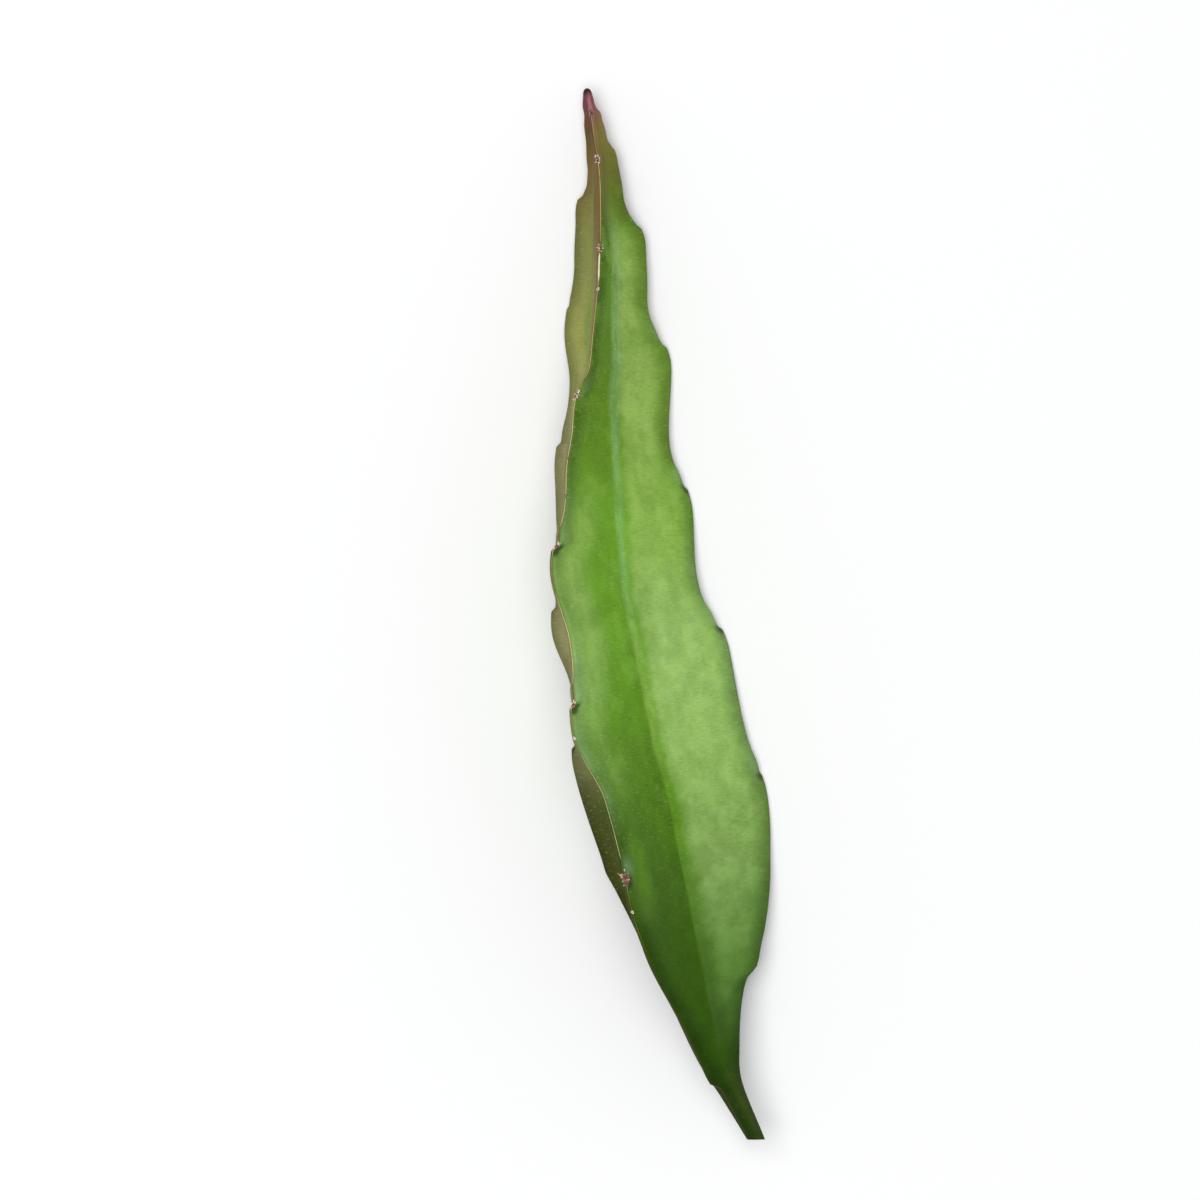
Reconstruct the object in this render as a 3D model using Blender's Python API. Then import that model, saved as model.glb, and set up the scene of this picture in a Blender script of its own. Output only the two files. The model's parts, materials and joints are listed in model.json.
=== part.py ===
"""Dragon fruit cutting: one three-winged stem, lying on the edges of its right and left wings.

Lengths are in millimetres until a mesh is made. Y runs from the cut end to the tip, X to the right as seen
from above, Z up. A station is a distance along Y from the middle of the cut end. The origin is on the surface
that the cutting lies on, under the middle of its outline.
"""
import math
import random

import bmesh
import bpy
import numpy as np
from mathutils import Matrix, Vector

MM = 0.001

# The stem's overall size, where the middle of its cut end lies, and the slant of the cut in degrees
LENGTH = 300.0
CUT_X = 7.7
CUT_Y = -149.8
CUT_LEAN = 9.04

# The stem's centre line: station, sideways, height
CENTRE_LINE = (
    (0.0, 0.1, 12.5),
    (23.0, -7.0, 15.2),
    (60.0, -11.6, 18.0),
    (100.0, -14.0, 18.6),
    (150.0, -15.6, 16.6),
    (190.0, -13.2, 13.6),
    (223.0, -8.0, 11.3),
    (255.0, -2.3, 8.7),
    (280.0, -0.1, 6.8),
    (291.0, -0.1, 6.2),
    (300.0, -0.4, 5.8),
)

# Each wing's direction round the centre line, in degrees from +X towards +Z: station, angle
RIGHT_TURN = ((0.0, -30.0), (300.0, -30.0))
UPPER_TURN = (
    (0.0, 145.0),
    (17.0, 140.0),
    (43.0, 124.0),
    (62.0, 116.0),
    (82.0, 113.5),
    (100.0, 116.0),
    (120.0, 119.0),
    (165.0, 119.0),
    (188.0, 115.0),
    (211.0, 112.0),
    (220.0, 102.0),
    (255.0, 97.0),
    (300.0, 92.0),
)
LEFT_TURN = ((0.0, 222.0), (60.0, 222.0), (112.0, 224.0), (155.0, 222.0), (300.0, 222.0))

# The lobes of each wing, from the tip down: station of the lobe's upper corner, the wing's reach in the
# waist above it, and its reach at the rounded shoulder below it
RIGHT_LOBES = (
    (293.0, 1.6, 3.0),
    (282.0, 3.6, 5.9),
    (260.5, 6.6, 13.2),
    (228.5, 13.7, 22.3),
    (187.0, 21.8, 28.4),
    (144.0, 27.7, 34.6),
    (99.5, 34.4, 37.4),
)
UPPER_LOBES = (
    (292.0, 2.4, 3.4),
    (279.0, 4.2, 5.6),
    (253.5, 8.5, 12.5),
    (212.5, 16.5, 20.5),
    (170.5, 24.5, 33.5),
    (127.5, 28.5, 36.0),
    (79.5, 28.4, 29.2),
)
LEFT_LOBES = (
    (290.0, 2.6, 3.4),
    (267.5, 4.4, 10.4),
    (236.5, 11.4, 14.5),
    (199.0, 12.1, 17.8),
    (156.5, 18.5, 24.7),
    (117.0, 21.4, 27.0),
)

# Where each wing runs out into the stalk: station, reach
RIGHT_END = ((72.0, 33.2), (56.0, 27.2), (45.0, 20.0), (39.0, 14.6), (26.0, 8.6), (15.0, 4.6), (0.0, 2.5))
UPPER_END = ((60.0, 23.8), (43.0, 13.0), (33.0, 8.5), (24.0, 5.7), (19.0, 4.6), (15.5, 3.0), (0.0, 2.3))
LEFT_END = ((86.0, 23.0), (64.0, 16.0), (44.0, 10.5), (25.0, 6.6), (14.0, 3.6), (0.0, 2.4))

# Each wing, with a last areole near its lower end. The spines on the wings that it lies on are worn short.
WINGS = (
    {"turn": RIGHT_TURN, "lobes": RIGHT_LOBES, "end": RIGHT_END, "last_areole": 44.0, "spine": (0.8, 1.2)},
    {"turn": UPPER_TURN, "lobes": UPPER_LOBES, "end": UPPER_END, "last_areole": 40.0, "spine": (1.5, 2.7)},
    {"turn": LEFT_TURN, "lobes": LEFT_LOBES, "end": LEFT_END, "last_areole": 78.0, "spine": (0.8, 1.3)},
)

TIP_REACH = 1.2
# A lobe's shape: where its waist and its shoulder lie, as shares of the way to the next corners, how much of
# the rise is done at the corner, and how steeply
WAIST_SHARE = 0.45
SHOULDER_SHARE = 0.16
CORNER_RISE = 0.8
RISE_POWER = 2.2
ROUND_POWER = 2.0

# Flesh: where the planes of two neighbouring wings would meet, from the centre line: station, distance
FLESH = (
    (0.0, 1.5),
    (20.0, 2.0),
    (45.0, 3.3),
    (75.0, 4.4),
    (200.0, 4.4),
    (245.0, 3.5),
    (270.0, 2.2),
    (300.0, 0.4),
)
# Half the thickness of a wing at its edge: station, half thickness
EDGE = ((0.0, 1.6), (18.0, 1.5), (45.0, 1.25), (100.0, 1.15), (250.0, 1.0), (285.0, 0.8), (300.0, 0.7))
# The edge's rounding is at most this share of the wing's reach
EDGE_SHARE = 0.7
# How tightly a face turns in the valley between two wings
VALLEY_TIGHTNESS = 4.0

# Fineness of the loft, its spare length beyond the cut end, and its last ring's distance from the tip
STATION_STEP = 2.75
EDGE_POINTS = 4
FACE_POINTS = 7
END_SPARE = 5.0
TIP_ROUND = 0.4
# Half the stretch over which a direction along the stem is measured
PROBE = 0.5
CREASE_ANGLE = 40.0

# Areoles: a felt cushion with short conical spines, in the notch just above each corner
AREOLE_SETBACK = 1.4
CUSHION_LONG = 1.3
CUSHION_WIDE = 0.9
CUSHION_HIGH = 0.6
CUSHION_SINK = 0.1
CUSHION_SIDES = 8
SPINE_RADIUS = 0.33
SPINE_SIDES = 5
SPINE_ROOT = 0.9
SPINE_ROOT_SPREAD = 0.35
SPINES_PER_AREOLE = (3, 4)
SPINE_LEAN = (25.0, 46.0)
SPINE_TURN_DRIFT = 0.3
# No spine points below the level, and a wing narrower than this has no areole
LOWEST_SPINE_DIP = 0.0
SMALLEST_REACH = 2.2
SEED = 7

STEM_COLOUR = (0.105, 0.225, 0.042, 1.0)
STEM_ROUGHNESS = 0.42

CUTTER_SIZE = 420.0
CUTTER_DEPTH = 20.0
# The exact solver loses the stem at the slanting cut, and the meshes here are all closed
SOLVER = "MANIFOLD"


def smooth_key(keys, at):
    """Monotone cubic curve through (station, value) keys, read at the stations in at."""
    keys = sorted(keys)
    x = np.array([k[0] for k in keys])
    y = np.array([k[1] for k in keys])
    rise = np.diff(y) / np.diff(x)
    slope = np.empty_like(y)
    slope[0] = rise[0]
    slope[-1] = rise[-1]
    for i in range(1, len(keys) - 1):
        same_way = rise[i - 1] * rise[i] > 0.0
        slope[i] = 2.0 * rise[i - 1] * rise[i] / (rise[i - 1] + rise[i]) if same_way else 0.0
    at = np.clip(np.asarray(at, dtype=float), x[0], x[-1])
    i = np.clip(np.searchsorted(x, at, side="right") - 1, 0, len(x) - 2)
    width = x[i + 1] - x[i]
    t = (at - x[i]) / width
    start = (2.0 * t**3 - 3.0 * t**2 + 1.0) * y[i] + (t**3 - 2.0 * t**2 + t) * width * slope[i]
    finish = (3.0 * t**2 - 2.0 * t**3) * y[i + 1] + (t**3 - t**2) * width * slope[i + 1]
    return start + finish


def lobed_reach(lobes, end, at):
    """Reach of one wing along the stem.

    Down from the tip each lobe has a waist, then a steepening rise to its corner, a rounded shoulder just
    below it, and an easy fall to the next waist. Below the last shoulder the reach follows the end's keys.
    """
    at = np.asarray(at, dtype=float)
    low = lobes[-1]
    last_shoulder = low[0] - SHOULDER_SHARE * (low[0] - end[0][0])
    reach = smooth_key(tuple(end) + ((last_shoulder, low[2]), (last_shoulder + 1.0, low[2])), at)
    before = (LENGTH, TIP_REACH)
    for i, (corner, waist, shoulder) in enumerate(lobes):
        above = lobes[i - 1][0] if i else LENGTH
        below = lobes[i + 1][0] if i + 1 < len(lobes) else end[0][0]
        waist_at = corner + WAIST_SHARE * (above - corner)
        shoulder_at = corner - SHOULDER_SHARE * (corner - below)
        corner_reach = waist + CORNER_RISE * (shoulder - waist)
        fall = np.clip((before[0] - at) / (before[0] - waist_at), 0.0, 1.0)
        fall = before[1] + (waist - before[1]) * fall**2 * (3.0 - 2.0 * fall)
        rise = np.clip((waist_at - at) / (waist_at - corner), 0.0, 1.0)
        rise = waist + (corner_reach - waist) * rise**RISE_POWER
        crown = np.clip((corner - at) / (corner - shoulder_at), 0.0, 1.0)
        crown = shoulder - (shoulder - corner_reach) * (1.0 - crown) ** ROUND_POWER
        reach = np.where((at <= before[0]) & (at > waist_at), fall, reach)
        reach = np.where((at <= waist_at) & (at > corner), rise, reach)
        reach = np.where((at <= corner) & (at > shoulder_at), crown, reach)
        before = (shoulder_at, shoulder)
    return reach


def centre_line(at):
    """Points of the centre line at the given stations, in the object's frame."""
    line_x = [(s, x) for s, x, _ in CENTRE_LINE]
    line_z = [(s, z) for s, _, z in CENTRE_LINE]
    at = np.asarray(at, dtype=float)
    first = CENTRE_LINE[0]
    second = CENTRE_LINE[1]
    x = smooth_key(line_x, at)
    z = smooth_key(line_z, at)
    # Beyond the cut end the line goes straight on, to be cut off
    spare = np.minimum(at, 0.0) / (second[0] - first[0])
    x = x + spare * (second[1] - first[1])
    z = z + spare * (second[2] - first[2])
    return np.stack([CUT_X + x, CUT_Y + at, z], axis=-1)


def cross_frame(at):
    """Centre point, sideways and upward directions of the cross-sections at the given stations."""
    at = np.asarray(at, dtype=float)
    forward = np.minimum(at + PROBE, LENGTH)
    ahead = centre_line(forward) - centre_line(forward - 2.0 * PROBE)
    ahead = ahead / np.linalg.norm(ahead, axis=-1, keepdims=True)
    side = np.cross(ahead, [0.0, 0.0, 1.0])
    side = side / np.linalg.norm(side, axis=-1, keepdims=True)
    up = np.cross(side, ahead)
    return centre_line(at), side, up


def wing_reach(wing, at):
    """How far the wing stands out from the centre line at the given stations."""
    return lobed_reach(wing["lobes"], wing["end"], at)


def wing_turn(wing, at):
    """The wing's direction, in radians, at the given stations."""
    return np.radians(smooth_key(wing["turn"], at))


def section(station):
    """One closed cross-section, as (sideways, up) points in turn round the centre line.

    Each wing ends in a half circle. Between two wings runs a conic arc, pulled towards the point where the
    two wings' planes would meet.
    """
    flesh = float(smooth_key(FLESH, station))
    half = float(smooth_key(EDGE, station))
    ends = []
    for wing in WINGS:
        angle = float(wing_turn(wing, station))
        reach = float(wing_reach(wing, station))
        radius = min(half, EDGE_SHARE * reach)
        out = np.array([math.cos(angle), math.sin(angle)])
        across = np.array([-out[1], out[0]])
        middle = out * (reach - radius)
        turn = np.radians(np.linspace(-90.0, 90.0, EDGE_POINTS))
        arc = middle + radius * (np.cos(turn)[:, None] * out + np.sin(turn)[:, None] * across)
        ends.append((angle, arc))
    points = []
    for i, (angle, arc) in enumerate(ends):
        next_angle, next_arc = ends[(i + 1) % len(ends)]
        gap = (next_angle - angle) % (2.0 * math.pi)
        bisector = angle + gap / 2.0
        pull = flesh * np.array([math.cos(bisector), math.sin(bisector)])
        t = np.linspace(0.0, 1.0, FACE_POINTS + 2)[1:-1, None]
        weight = VALLEY_TIGHTNESS
        top = (1.0 - t) ** 2 * arc[-1] + 2.0 * weight * t * (1.0 - t) * pull + t**2 * next_arc[0]
        bottom = (1.0 - t) ** 2 + 2.0 * weight * t * (1.0 - t) + t**2
        points.extend(arc)
        points.extend(top / bottom)
    return np.array(points)


def stem_mesh():
    """The whole stem as a closed loft: a ring of points at each station, a flat end and a pointed tip."""
    count = int(round((LENGTH + END_SPARE) / STATION_STEP))
    stations = np.linspace(-END_SPARE, LENGTH - TIP_ROUND, count + 1)
    centre, side, up = cross_frame(stations)
    rings = []
    for i, station in enumerate(stations):
        ring = section(max(station, 0.0))
        rings.append(centre[i] + ring[:, :1] * side[i] + ring[:, 1:] * up[i])
    per_ring = len(rings[0])
    mesh = bmesh.new()
    verts = [[mesh.verts.new(p * MM) for p in ring] for ring in rings]
    for low, high in zip(verts[:-1], verts[1:]):
        for j in range(per_ring):
            k = (j + 1) % per_ring
            mesh.faces.new((low[j], low[k], high[k], high[j]))
    base = mesh.verts.new(centre[0] * MM)
    tip = mesh.verts.new(centre_line(LENGTH) * MM)
    for j in range(per_ring):
        k = (j + 1) % per_ring
        mesh.faces.new((verts[0][k], verts[0][j], base))
        mesh.faces.new((verts[-1][j], verts[-1][k], tip))
    bmesh.ops.recalc_face_normals(mesh, faces=mesh.faces)
    return mesh


def object_from(mesh, name, collection):
    """A new object in the collection from a bmesh, which is freed."""
    data = bpy.data.meshes.new(name)
    mesh.to_mesh(data)
    mesh.free()
    made = bpy.data.objects.new(name, data)
    collection.objects.link(made)
    return made


def areole_places():
    """Every areole's point on the edge, its outward, along and across directions, and its spines' length."""
    places = []
    for wing in WINGS:
        stations = [lobe[0] + AREOLE_SETBACK for lobe in wing["lobes"]] + [wing["last_areole"]]
        for station in stations:
            if float(wing_reach(wing, station)) < SMALLEST_REACH:
                continue
            near = np.array([station - PROBE, station, station + PROBE])
            centre, side, up = cross_frame(near)
            angle = wing_turn(wing, near)[:, None]
            reach = wing_reach(wing, near)[:, None]
            edge = centre + reach * (np.cos(angle) * side + np.sin(angle) * up)
            out = np.cos(angle[1]) * side[1] + np.sin(angle[1]) * up[1]
            along = Vector(edge[2] - edge[0]).normalized()
            across = along.cross(Vector(out)).normalized()
            outward = across.cross(along).normalized()
            places.append((Vector(edge[1]), outward, along, across, wing["spine"]))
    return places


def add_cushion(collection, index, place, outward, along, across):
    """A low oval cushion, half sunk in the wing's edge."""
    mesh = bmesh.new()
    bmesh.ops.create_uvsphere(mesh, u_segments=CUSHION_SIDES, v_segments=CUSHION_SIDES // 2, radius=1.0)
    turn = Matrix((across, along, outward)).transposed().to_4x4()
    size = Matrix.Diagonal((CUSHION_WIDE, CUSHION_LONG, CUSHION_HIGH, 1.0))
    seat = Matrix.Translation((place - outward * CUSHION_SINK) * MM)
    bmesh.ops.transform(mesh, matrix=seat @ turn @ size @ Matrix.Scale(MM, 4), verts=mesh.verts)
    object_from(mesh, f"cushion_{index}", collection)


def add_spine(collection, name, place, direction, length):
    """A short stiff cone, with its root sunk in the cushion."""
    mesh = bmesh.new()
    whole = length + SPINE_ROOT
    bmesh.ops.create_cone(
        mesh,
        cap_ends=True,
        segments=SPINE_SIDES,
        radius1=SPINE_RADIUS * MM,
        radius2=0.0,
        depth=whole * MM,
    )
    turn = direction.to_track_quat("Z", "Y").to_matrix().to_4x4()
    middle = place + direction * (whole / 2.0 - SPINE_ROOT)
    bmesh.ops.transform(mesh, matrix=Matrix.Translation(middle * MM) @ turn, verts=mesh.verts)
    object_from(mesh, name, collection)


def add_areoles(collection):
    """A cushion with a fan of short spines at every areole."""
    rng = random.Random(SEED)
    for index, (place, outward, along, across, lengths) in enumerate(areole_places()):
        add_cushion(collection, index, place, outward, along, across)
        count = rng.randint(*SPINES_PER_AREOLE)
        first = rng.uniform(0.0, 2.0 * math.pi)
        for number in range(count):
            drift = rng.uniform(-SPINE_TURN_DRIFT, SPINE_TURN_DRIFT)
            around = first + 2.0 * math.pi * number / count + drift
            lean = math.radians(rng.uniform(*SPINE_LEAN))
            sideways = along * math.cos(around) + across * math.sin(around)
            direction = outward * math.cos(lean) + sideways * math.sin(lean)
            direction.z = max(direction.z, LOWEST_SPINE_DIP)
            root = place + sideways * SPINE_ROOT_SPREAD
            length = rng.uniform(*lengths)
            add_spine(collection, f"spine_{index}_{number}", root, direction.normalized(), length)


def add_cutter(collection, name, matrix):
    """A large box below the plane z = 0 of the given matrix."""
    mesh = bmesh.new()
    bmesh.ops.create_cube(mesh, size=1.0)
    size = Matrix.Diagonal((CUTTER_SIZE * MM, CUTTER_SIZE * MM, CUTTER_DEPTH * MM, 1.0))
    drop = Matrix.Translation((0.0, 0.0, -CUTTER_DEPTH * MM / 2.0))
    bmesh.ops.transform(mesh, matrix=matrix @ drop @ size, verts=mesh.verts)
    cutter = object_from(mesh, name, collection)
    cutter.display_type = "WIRE"
    cutter.hide_render = True
    return cutter


def cut(stem, cutter):
    """Take the cutter's volume off the stem."""
    difference = stem.modifiers.new(cutter.name, "BOOLEAN")
    difference.operation = "DIFFERENCE"
    difference.object = cutter
    difference.solver = SOLVER


def fuse(stem, collection):
    """Join the cushions and spines to the stem in one Boolean union."""
    union = stem.modifiers.new("areoles", "BOOLEAN")
    union.operation = "UNION"
    union.operand_type = "COLLECTION"
    union.collection = collection
    union.solver = SOLVER


def apply_modifiers(stem):
    """Replace the stem's mesh by its evaluated one."""
    view = bpy.context.evaluated_depsgraph_get()
    finished = bpy.data.meshes.new_from_object(stem.evaluated_get(view))
    stem.modifiers.clear()
    old = stem.data
    stem.data = finished
    bpy.data.meshes.remove(old)


def remove_collection(collection):
    """Remove a collection with its objects and their meshes."""
    for piece in list(collection.objects):
        data = piece.data
        bpy.data.objects.remove(piece)
        bpy.data.meshes.remove(data)
    bpy.data.collections.remove(collection)


def stem_material():
    """Waxy green skin."""
    material = bpy.data.materials.new("stem_skin")
    material.use_nodes = True
    shader = material.node_tree.nodes["Principled BSDF"]
    shader.inputs["Base Color"].default_value = STEM_COLOUR
    shader.inputs["Roughness"].default_value = STEM_ROUGHNESS
    shader.inputs["Metallic"].default_value = 0.0
    return material


def main():
    """Clear the scene, loft the stem, fuse its areoles and trim it."""
    for old in list(bpy.data.objects):
        bpy.data.objects.remove(old)
    parts = bpy.data.collections.new("dragon_fruit_cutting")
    cutters = bpy.data.collections.new("cutters")
    areoles = bpy.data.collections.new("areoles")
    for collection in (parts, cutters, areoles):
        bpy.context.scene.collection.children.link(collection)

    stem = object_from(stem_mesh(), "winged_stem", parts)
    stem.data.materials.append(stem_material())
    add_areoles(areoles)
    fuse(stem, areoles)
    # The lowest lobes are pressed flat where they rest
    cut(stem, add_cutter(cutters, "resting_surface", Matrix.Identity(4)))
    # The stalk is cut off on a slant
    end = Matrix.Translation(Vector((CUT_X, CUT_Y, CENTRE_LINE[0][2])) * MM)
    slant = Matrix.Rotation(math.radians(-CUT_LEAN), 4, "Z") @ Matrix.Rotation(math.radians(-90.0), 4, "X")
    cut(stem, add_cutter(cutters, "cut_end", end @ slant))
    apply_modifiers(stem)
    remove_collection(cutters)
    remove_collection(areoles)
    stem.data.shade_smooth()
    stem.data.set_sharp_from_angle(angle=math.radians(CREASE_ANGLE))


main()
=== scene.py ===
"""The looks of the dragon fruit cutting: waxy skin, horny margins, areoles, and a dried cut end.

Lengths are in millimetres until a mesh is made. Y runs from the cut end to the tip, X to the right as seen
from above, Z up. A station is a distance along Y from the middle of the cut end. The stem follows nearly the
same named values as the frame's solid, and stands for it.
"""

import json
import math

import bpy
import numpy as np
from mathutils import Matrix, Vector
from bpy.props import FloatProperty, FloatVectorProperty, IntProperty, PointerProperty

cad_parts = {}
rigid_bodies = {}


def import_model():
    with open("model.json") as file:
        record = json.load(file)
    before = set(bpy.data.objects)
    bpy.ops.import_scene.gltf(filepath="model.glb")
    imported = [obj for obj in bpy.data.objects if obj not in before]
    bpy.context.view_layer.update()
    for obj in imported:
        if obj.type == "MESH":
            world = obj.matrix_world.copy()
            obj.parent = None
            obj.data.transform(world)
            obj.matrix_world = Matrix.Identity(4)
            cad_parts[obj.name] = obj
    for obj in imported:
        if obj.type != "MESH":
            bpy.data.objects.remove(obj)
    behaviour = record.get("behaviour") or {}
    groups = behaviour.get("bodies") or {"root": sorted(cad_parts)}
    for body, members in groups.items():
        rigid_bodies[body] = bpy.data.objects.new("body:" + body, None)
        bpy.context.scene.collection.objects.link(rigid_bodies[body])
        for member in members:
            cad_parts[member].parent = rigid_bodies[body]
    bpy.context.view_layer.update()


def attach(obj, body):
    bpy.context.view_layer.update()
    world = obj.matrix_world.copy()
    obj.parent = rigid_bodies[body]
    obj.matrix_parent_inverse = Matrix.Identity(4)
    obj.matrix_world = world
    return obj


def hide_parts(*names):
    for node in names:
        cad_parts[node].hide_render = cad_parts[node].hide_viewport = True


bl_info = {
    "name": "Dragon Fruit Cutting",
    "version": (1, 0, 0),
    "blender": (4, 5, 0),
    "location": "3D View > Sidebar > Cutting",
    "description": "Builds the skin, margins, areoles and cut end of a three-winged cactus cutting",
    "category": "Object",
}

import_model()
MM = 0.001
TURN = 2.0 * math.pi

# The stem's form, in millimetres and degrees
LENGTH = 300.0
CUT_X = 7.7
CUT_Y = -149.8
CUT_LEAN = 9.04
CUT_INWARD = np.array([math.sin(math.radians(CUT_LEAN)), math.cos(math.radians(CUT_LEAN)), 0.0])

# Centre line: station, sideways, height
CENTRE_LINE = (
    (0, 0.1, 12.5), (23, -7, 15.2), (60, -11.6, 18), (100, -14, 18.6), (150, -15.6, 16.6), (190, -13.2, 13.6),
    (223, -8, 11.3), (255, -2.3, 8.7), (280, -0.1, 6.8), (291, -0.1, 6.2), (300, -0.4, 5.8),
)
# Each wing's direction round the centre line (station, degrees from +X towards +Z), its lobes from the tip
# down (station of the upper corner, reach in the waist above it, reach at its shoulder), and how it runs out
# into the stalk (station, reach). Then come areoles below the lobes, dry specks, the share of a lobe's height
# bitten out above its corner, the depth of its areoles' hollows, the stations between which its margin fades
# in, and its areoles' size.
RIGHT = {
    "name": "right",
    "turn": ((0, -30), (300, -30)),
    "lobes": (
        (293, 1.6, 3), (282, 3.6, 5.9), (260.5, 6.6, 13.2), (228.5, 13.7, 22.3), (187, 21.8, 28.4),
        (144, 27.7, 34.6), (99.5, 34.4, 37.4),
    ),
    "end": (
        (72, 33.2), (56, 27.2), (47, 22), (44.8, 20.6), (43.3, 17.8), (39, 14.6), (26, 8.6), (15, 4.6),
        (0, 2.5),
    ),
    "low_areoles": (44,), "specks": (), "bite": 0.10, "notch": 0.75, "fade": (22, 32), "boldness": 0.4,
}
UPPER = {
    "name": "upper",
    "turn": (
        (0, 145), (17, 140), (43, 124), (62, 116), (82, 113.5), (100, 116), (120, 119), (165, 119), (188, 115),
        (211, 112), (220, 102), (255, 97), (300, 92),
    ),
    "lobes": (
        (292, 2.4, 3.4), (278.5, 4.2, 5.6), (252.6, 8.5, 12.5), (211.2, 16.5, 20.5), (169.6, 24.5, 33.5),
        (127.5, 28.5, 36), (79.5, 28.4, 29.2),
    ),
    "end": ((60, 23.8), (43, 13), (33, 8.5), (24, 6.1), (18.8, 5.1), (16.5, 2.6), (13, 2.2), (0, 2.2)),
    "low_areoles": (), "specks": (241.6, 119.4, 70.9), "bite": 0.20, "notch": 1.0, "fade": (56, 84),
    "boldness": 1.0,
}
LEFT = {
    "name": "left",
    "turn": ((0, 222), (60, 222), (112, 224), (155, 222), (300, 222)),
    "lobes": (
        (290, 2.6, 3.4), (269.5, 4.4, 10.4), (238.3, 11.4, 14.5), (200.6, 12.1, 17.8), (156.5, 18.5, 24.7),
        (118.2, 21.4, 27),
    ),
    "end": ((86, 23), (64, 16), (44, 10.5), (25, 6.6), (14, 3.6), (0, 2.4)),
    "low_areoles": (78,), "specks": (270.8, 188), "bite": 0.22, "notch": 0.85, "fade": (60, 90),
    "boldness": 0.5,
}
WINGS = (RIGHT, UPPER, LEFT)

# A lobe's shape: where its waist and shoulder lie, as shares of the way to the next corners, how much of the
# rise is done at the corner, how steeply, and where its bite starts, is deepest and ends above the corner
TIP_REACH = 1.2
WAIST_SHARE = 0.45
SHOULDER_SHARE = 0.16
CORNER_RISE = 0.8
RISE_POWER = 2.2
ROUND_POWER = 2.0
BITE = (-0.5, 0.7, 0.7, 6.5)
# Where the planes of two wings would meet, and half a wing's thickness at its edge: station, distance
FLESH = ((0, 1.5), (20, 2), (45, 3.3), (75, 4.4), (200, 4.4), (245, 3.5), (270, 2.2), (300, 0.4))
EDGE = ((0, 1.6), (18, 1.5), (45, 1.25), (100, 1.15), (250, 1), (285, 0.8), (300, 0.7))
EDGE_SHARE = 0.7
VALLEY_TIGHTNESS = 4.0
VALLEY_ROOM = 0.15
VALLEY_LIFT = 0.2
CUT_SHORT_FULL = 0.15
# Half the stretch over which a direction along the stem is measured
PROBE = 0.5

# Skin: seed, longest and shortest wave, and the quick waves' height as a share of the slow ones'
SLOW_WAVES = (11, 70.0, 16.0)
QUICK_WAVES = (12, 14.0, 4.0)
QUICK_SHARE = 0.22
SINES = 7
# How far the right-to-upper, upper-to-left and underside faces are olive from sun tan and painted shade,
# and which one is the broad face
TAN_AND_SHADE = (0.0, 1.0, 0.55)
BROAD = (1.0, 0.0, 0.0)
# Distance between two faces in the skin's noise, so that they don't share a pattern
FACE_APART = 100.0
# Where the waves grow in from the crest and from the cut, the hollows from the crest, and all from the tip
WAVES_FROM_CREST = (0.8, 5.0)
WAVES_FROM_CUT = (0.0, 25.0)
HOLLOW_FROM_CREST = (0.6, 2.6)
ALL_FROM_TIP = (0.0, 4.0)

# Marks at a full-size areole: how far below it and in from the crest the middle lies, and two half sizes
AREOLE_SETBACK = 0.6
SMALLEST_REACH = 2.6
FULL_REACH = 20.0
SMALLEST_MARK = 0.25
DEEP_NOTCH = (17.0, 26.0)
SWELLING = (-3.0, 2.0, 3.0, 2.2)
HOLLOW = (1.0, 0.9, 1.8, 2.2)
VEIN_SLOPE = 0.9
VEIN_WIDTH = 1.5
VEIN_REACH = (1.0, 5.0, 10.0, 19.0)

# Cut end: how far up the stem it slants, its rings, the last of them on a small lip, its radial puckers
# (height, count, start), and its bundles
CUT_BLEND = 9.0
CUT_RINGS = 12
INNER_SHARES = (0.08, 0.82)
LIP_SHARES = (0.91, 0.955, 0.985)
LIP_HEIGHTS = (0.02, 0.08, 0.05)
PUCKERS = ((0.05, 11.0, 0.0), (0.03, 23.0, 1.0))
BUNDLE_SHARE = 0.6
BUNDLE_RADIUS = 0.22
BUNDLE_SEED = 21

# Margins: their ends, depth in the skin, longest and shortest waves, and seeds. Then, along the stem, where
# the areoles have a swollen stretch above or a pale strip below, where the margin is thin, and where it is
# worn. A stretch is given as the middle and width of a bell curve, or as four limits, from its areole.
MARGIN_START = 22.0
MARGIN_END = 298.2
MARGIN_SINK = 0.12
MARGIN_WAVES = (30.0, 3.0)
MARGIN_SWAY = (24.0, 6.0)
MARGIN_SEED = 31
SWAY_SEED = 41
SWOLLEN_AT, SWOLLEN = (250, 230), (1.6, 2.0)
STRIP_AT, STRIP = (238, 248, 262, 272), (0.8, 2.2, 7.8, 9.8)
SLENDER_AT = (198, 214, 262, 292)
WORN_AT, WORN = (205, 190), (-8.0, 6.5)
WORN_LOW = (130, 112)

# Areoles: changes of size (from station, to station, change), then numbers and sizes of their parts
GROWTH = ((110, 85, 0.35), (70, 55, -0.85), (255, 275, -0.15), (284, 290, -0.05))
AREOLE_SEED = 7
TURN_DRIFT = 0.35
ROOT_OVAL = (1.8, 0.6)
SPINES_EACH = 9
SPINE_LEAN = (15.0, 70.0)
SPINE_SHARES = (0.20, 0.38)
SPINE_BEND = 0.12
HAIR_LEAN = (5.0, 75.0)
HAIR_BEND = 0.4
HAIR_RADIUS = 0.035
SCALE_WIDTH = 0.45
SCALE_FLAT = 0.22
SPECK_SIZE = 0.55
DOME_SINK = 0.1
DOME_TILT = (-0.35, 0.465 * math.pi)
DOME_LUMP = 0.12

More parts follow.
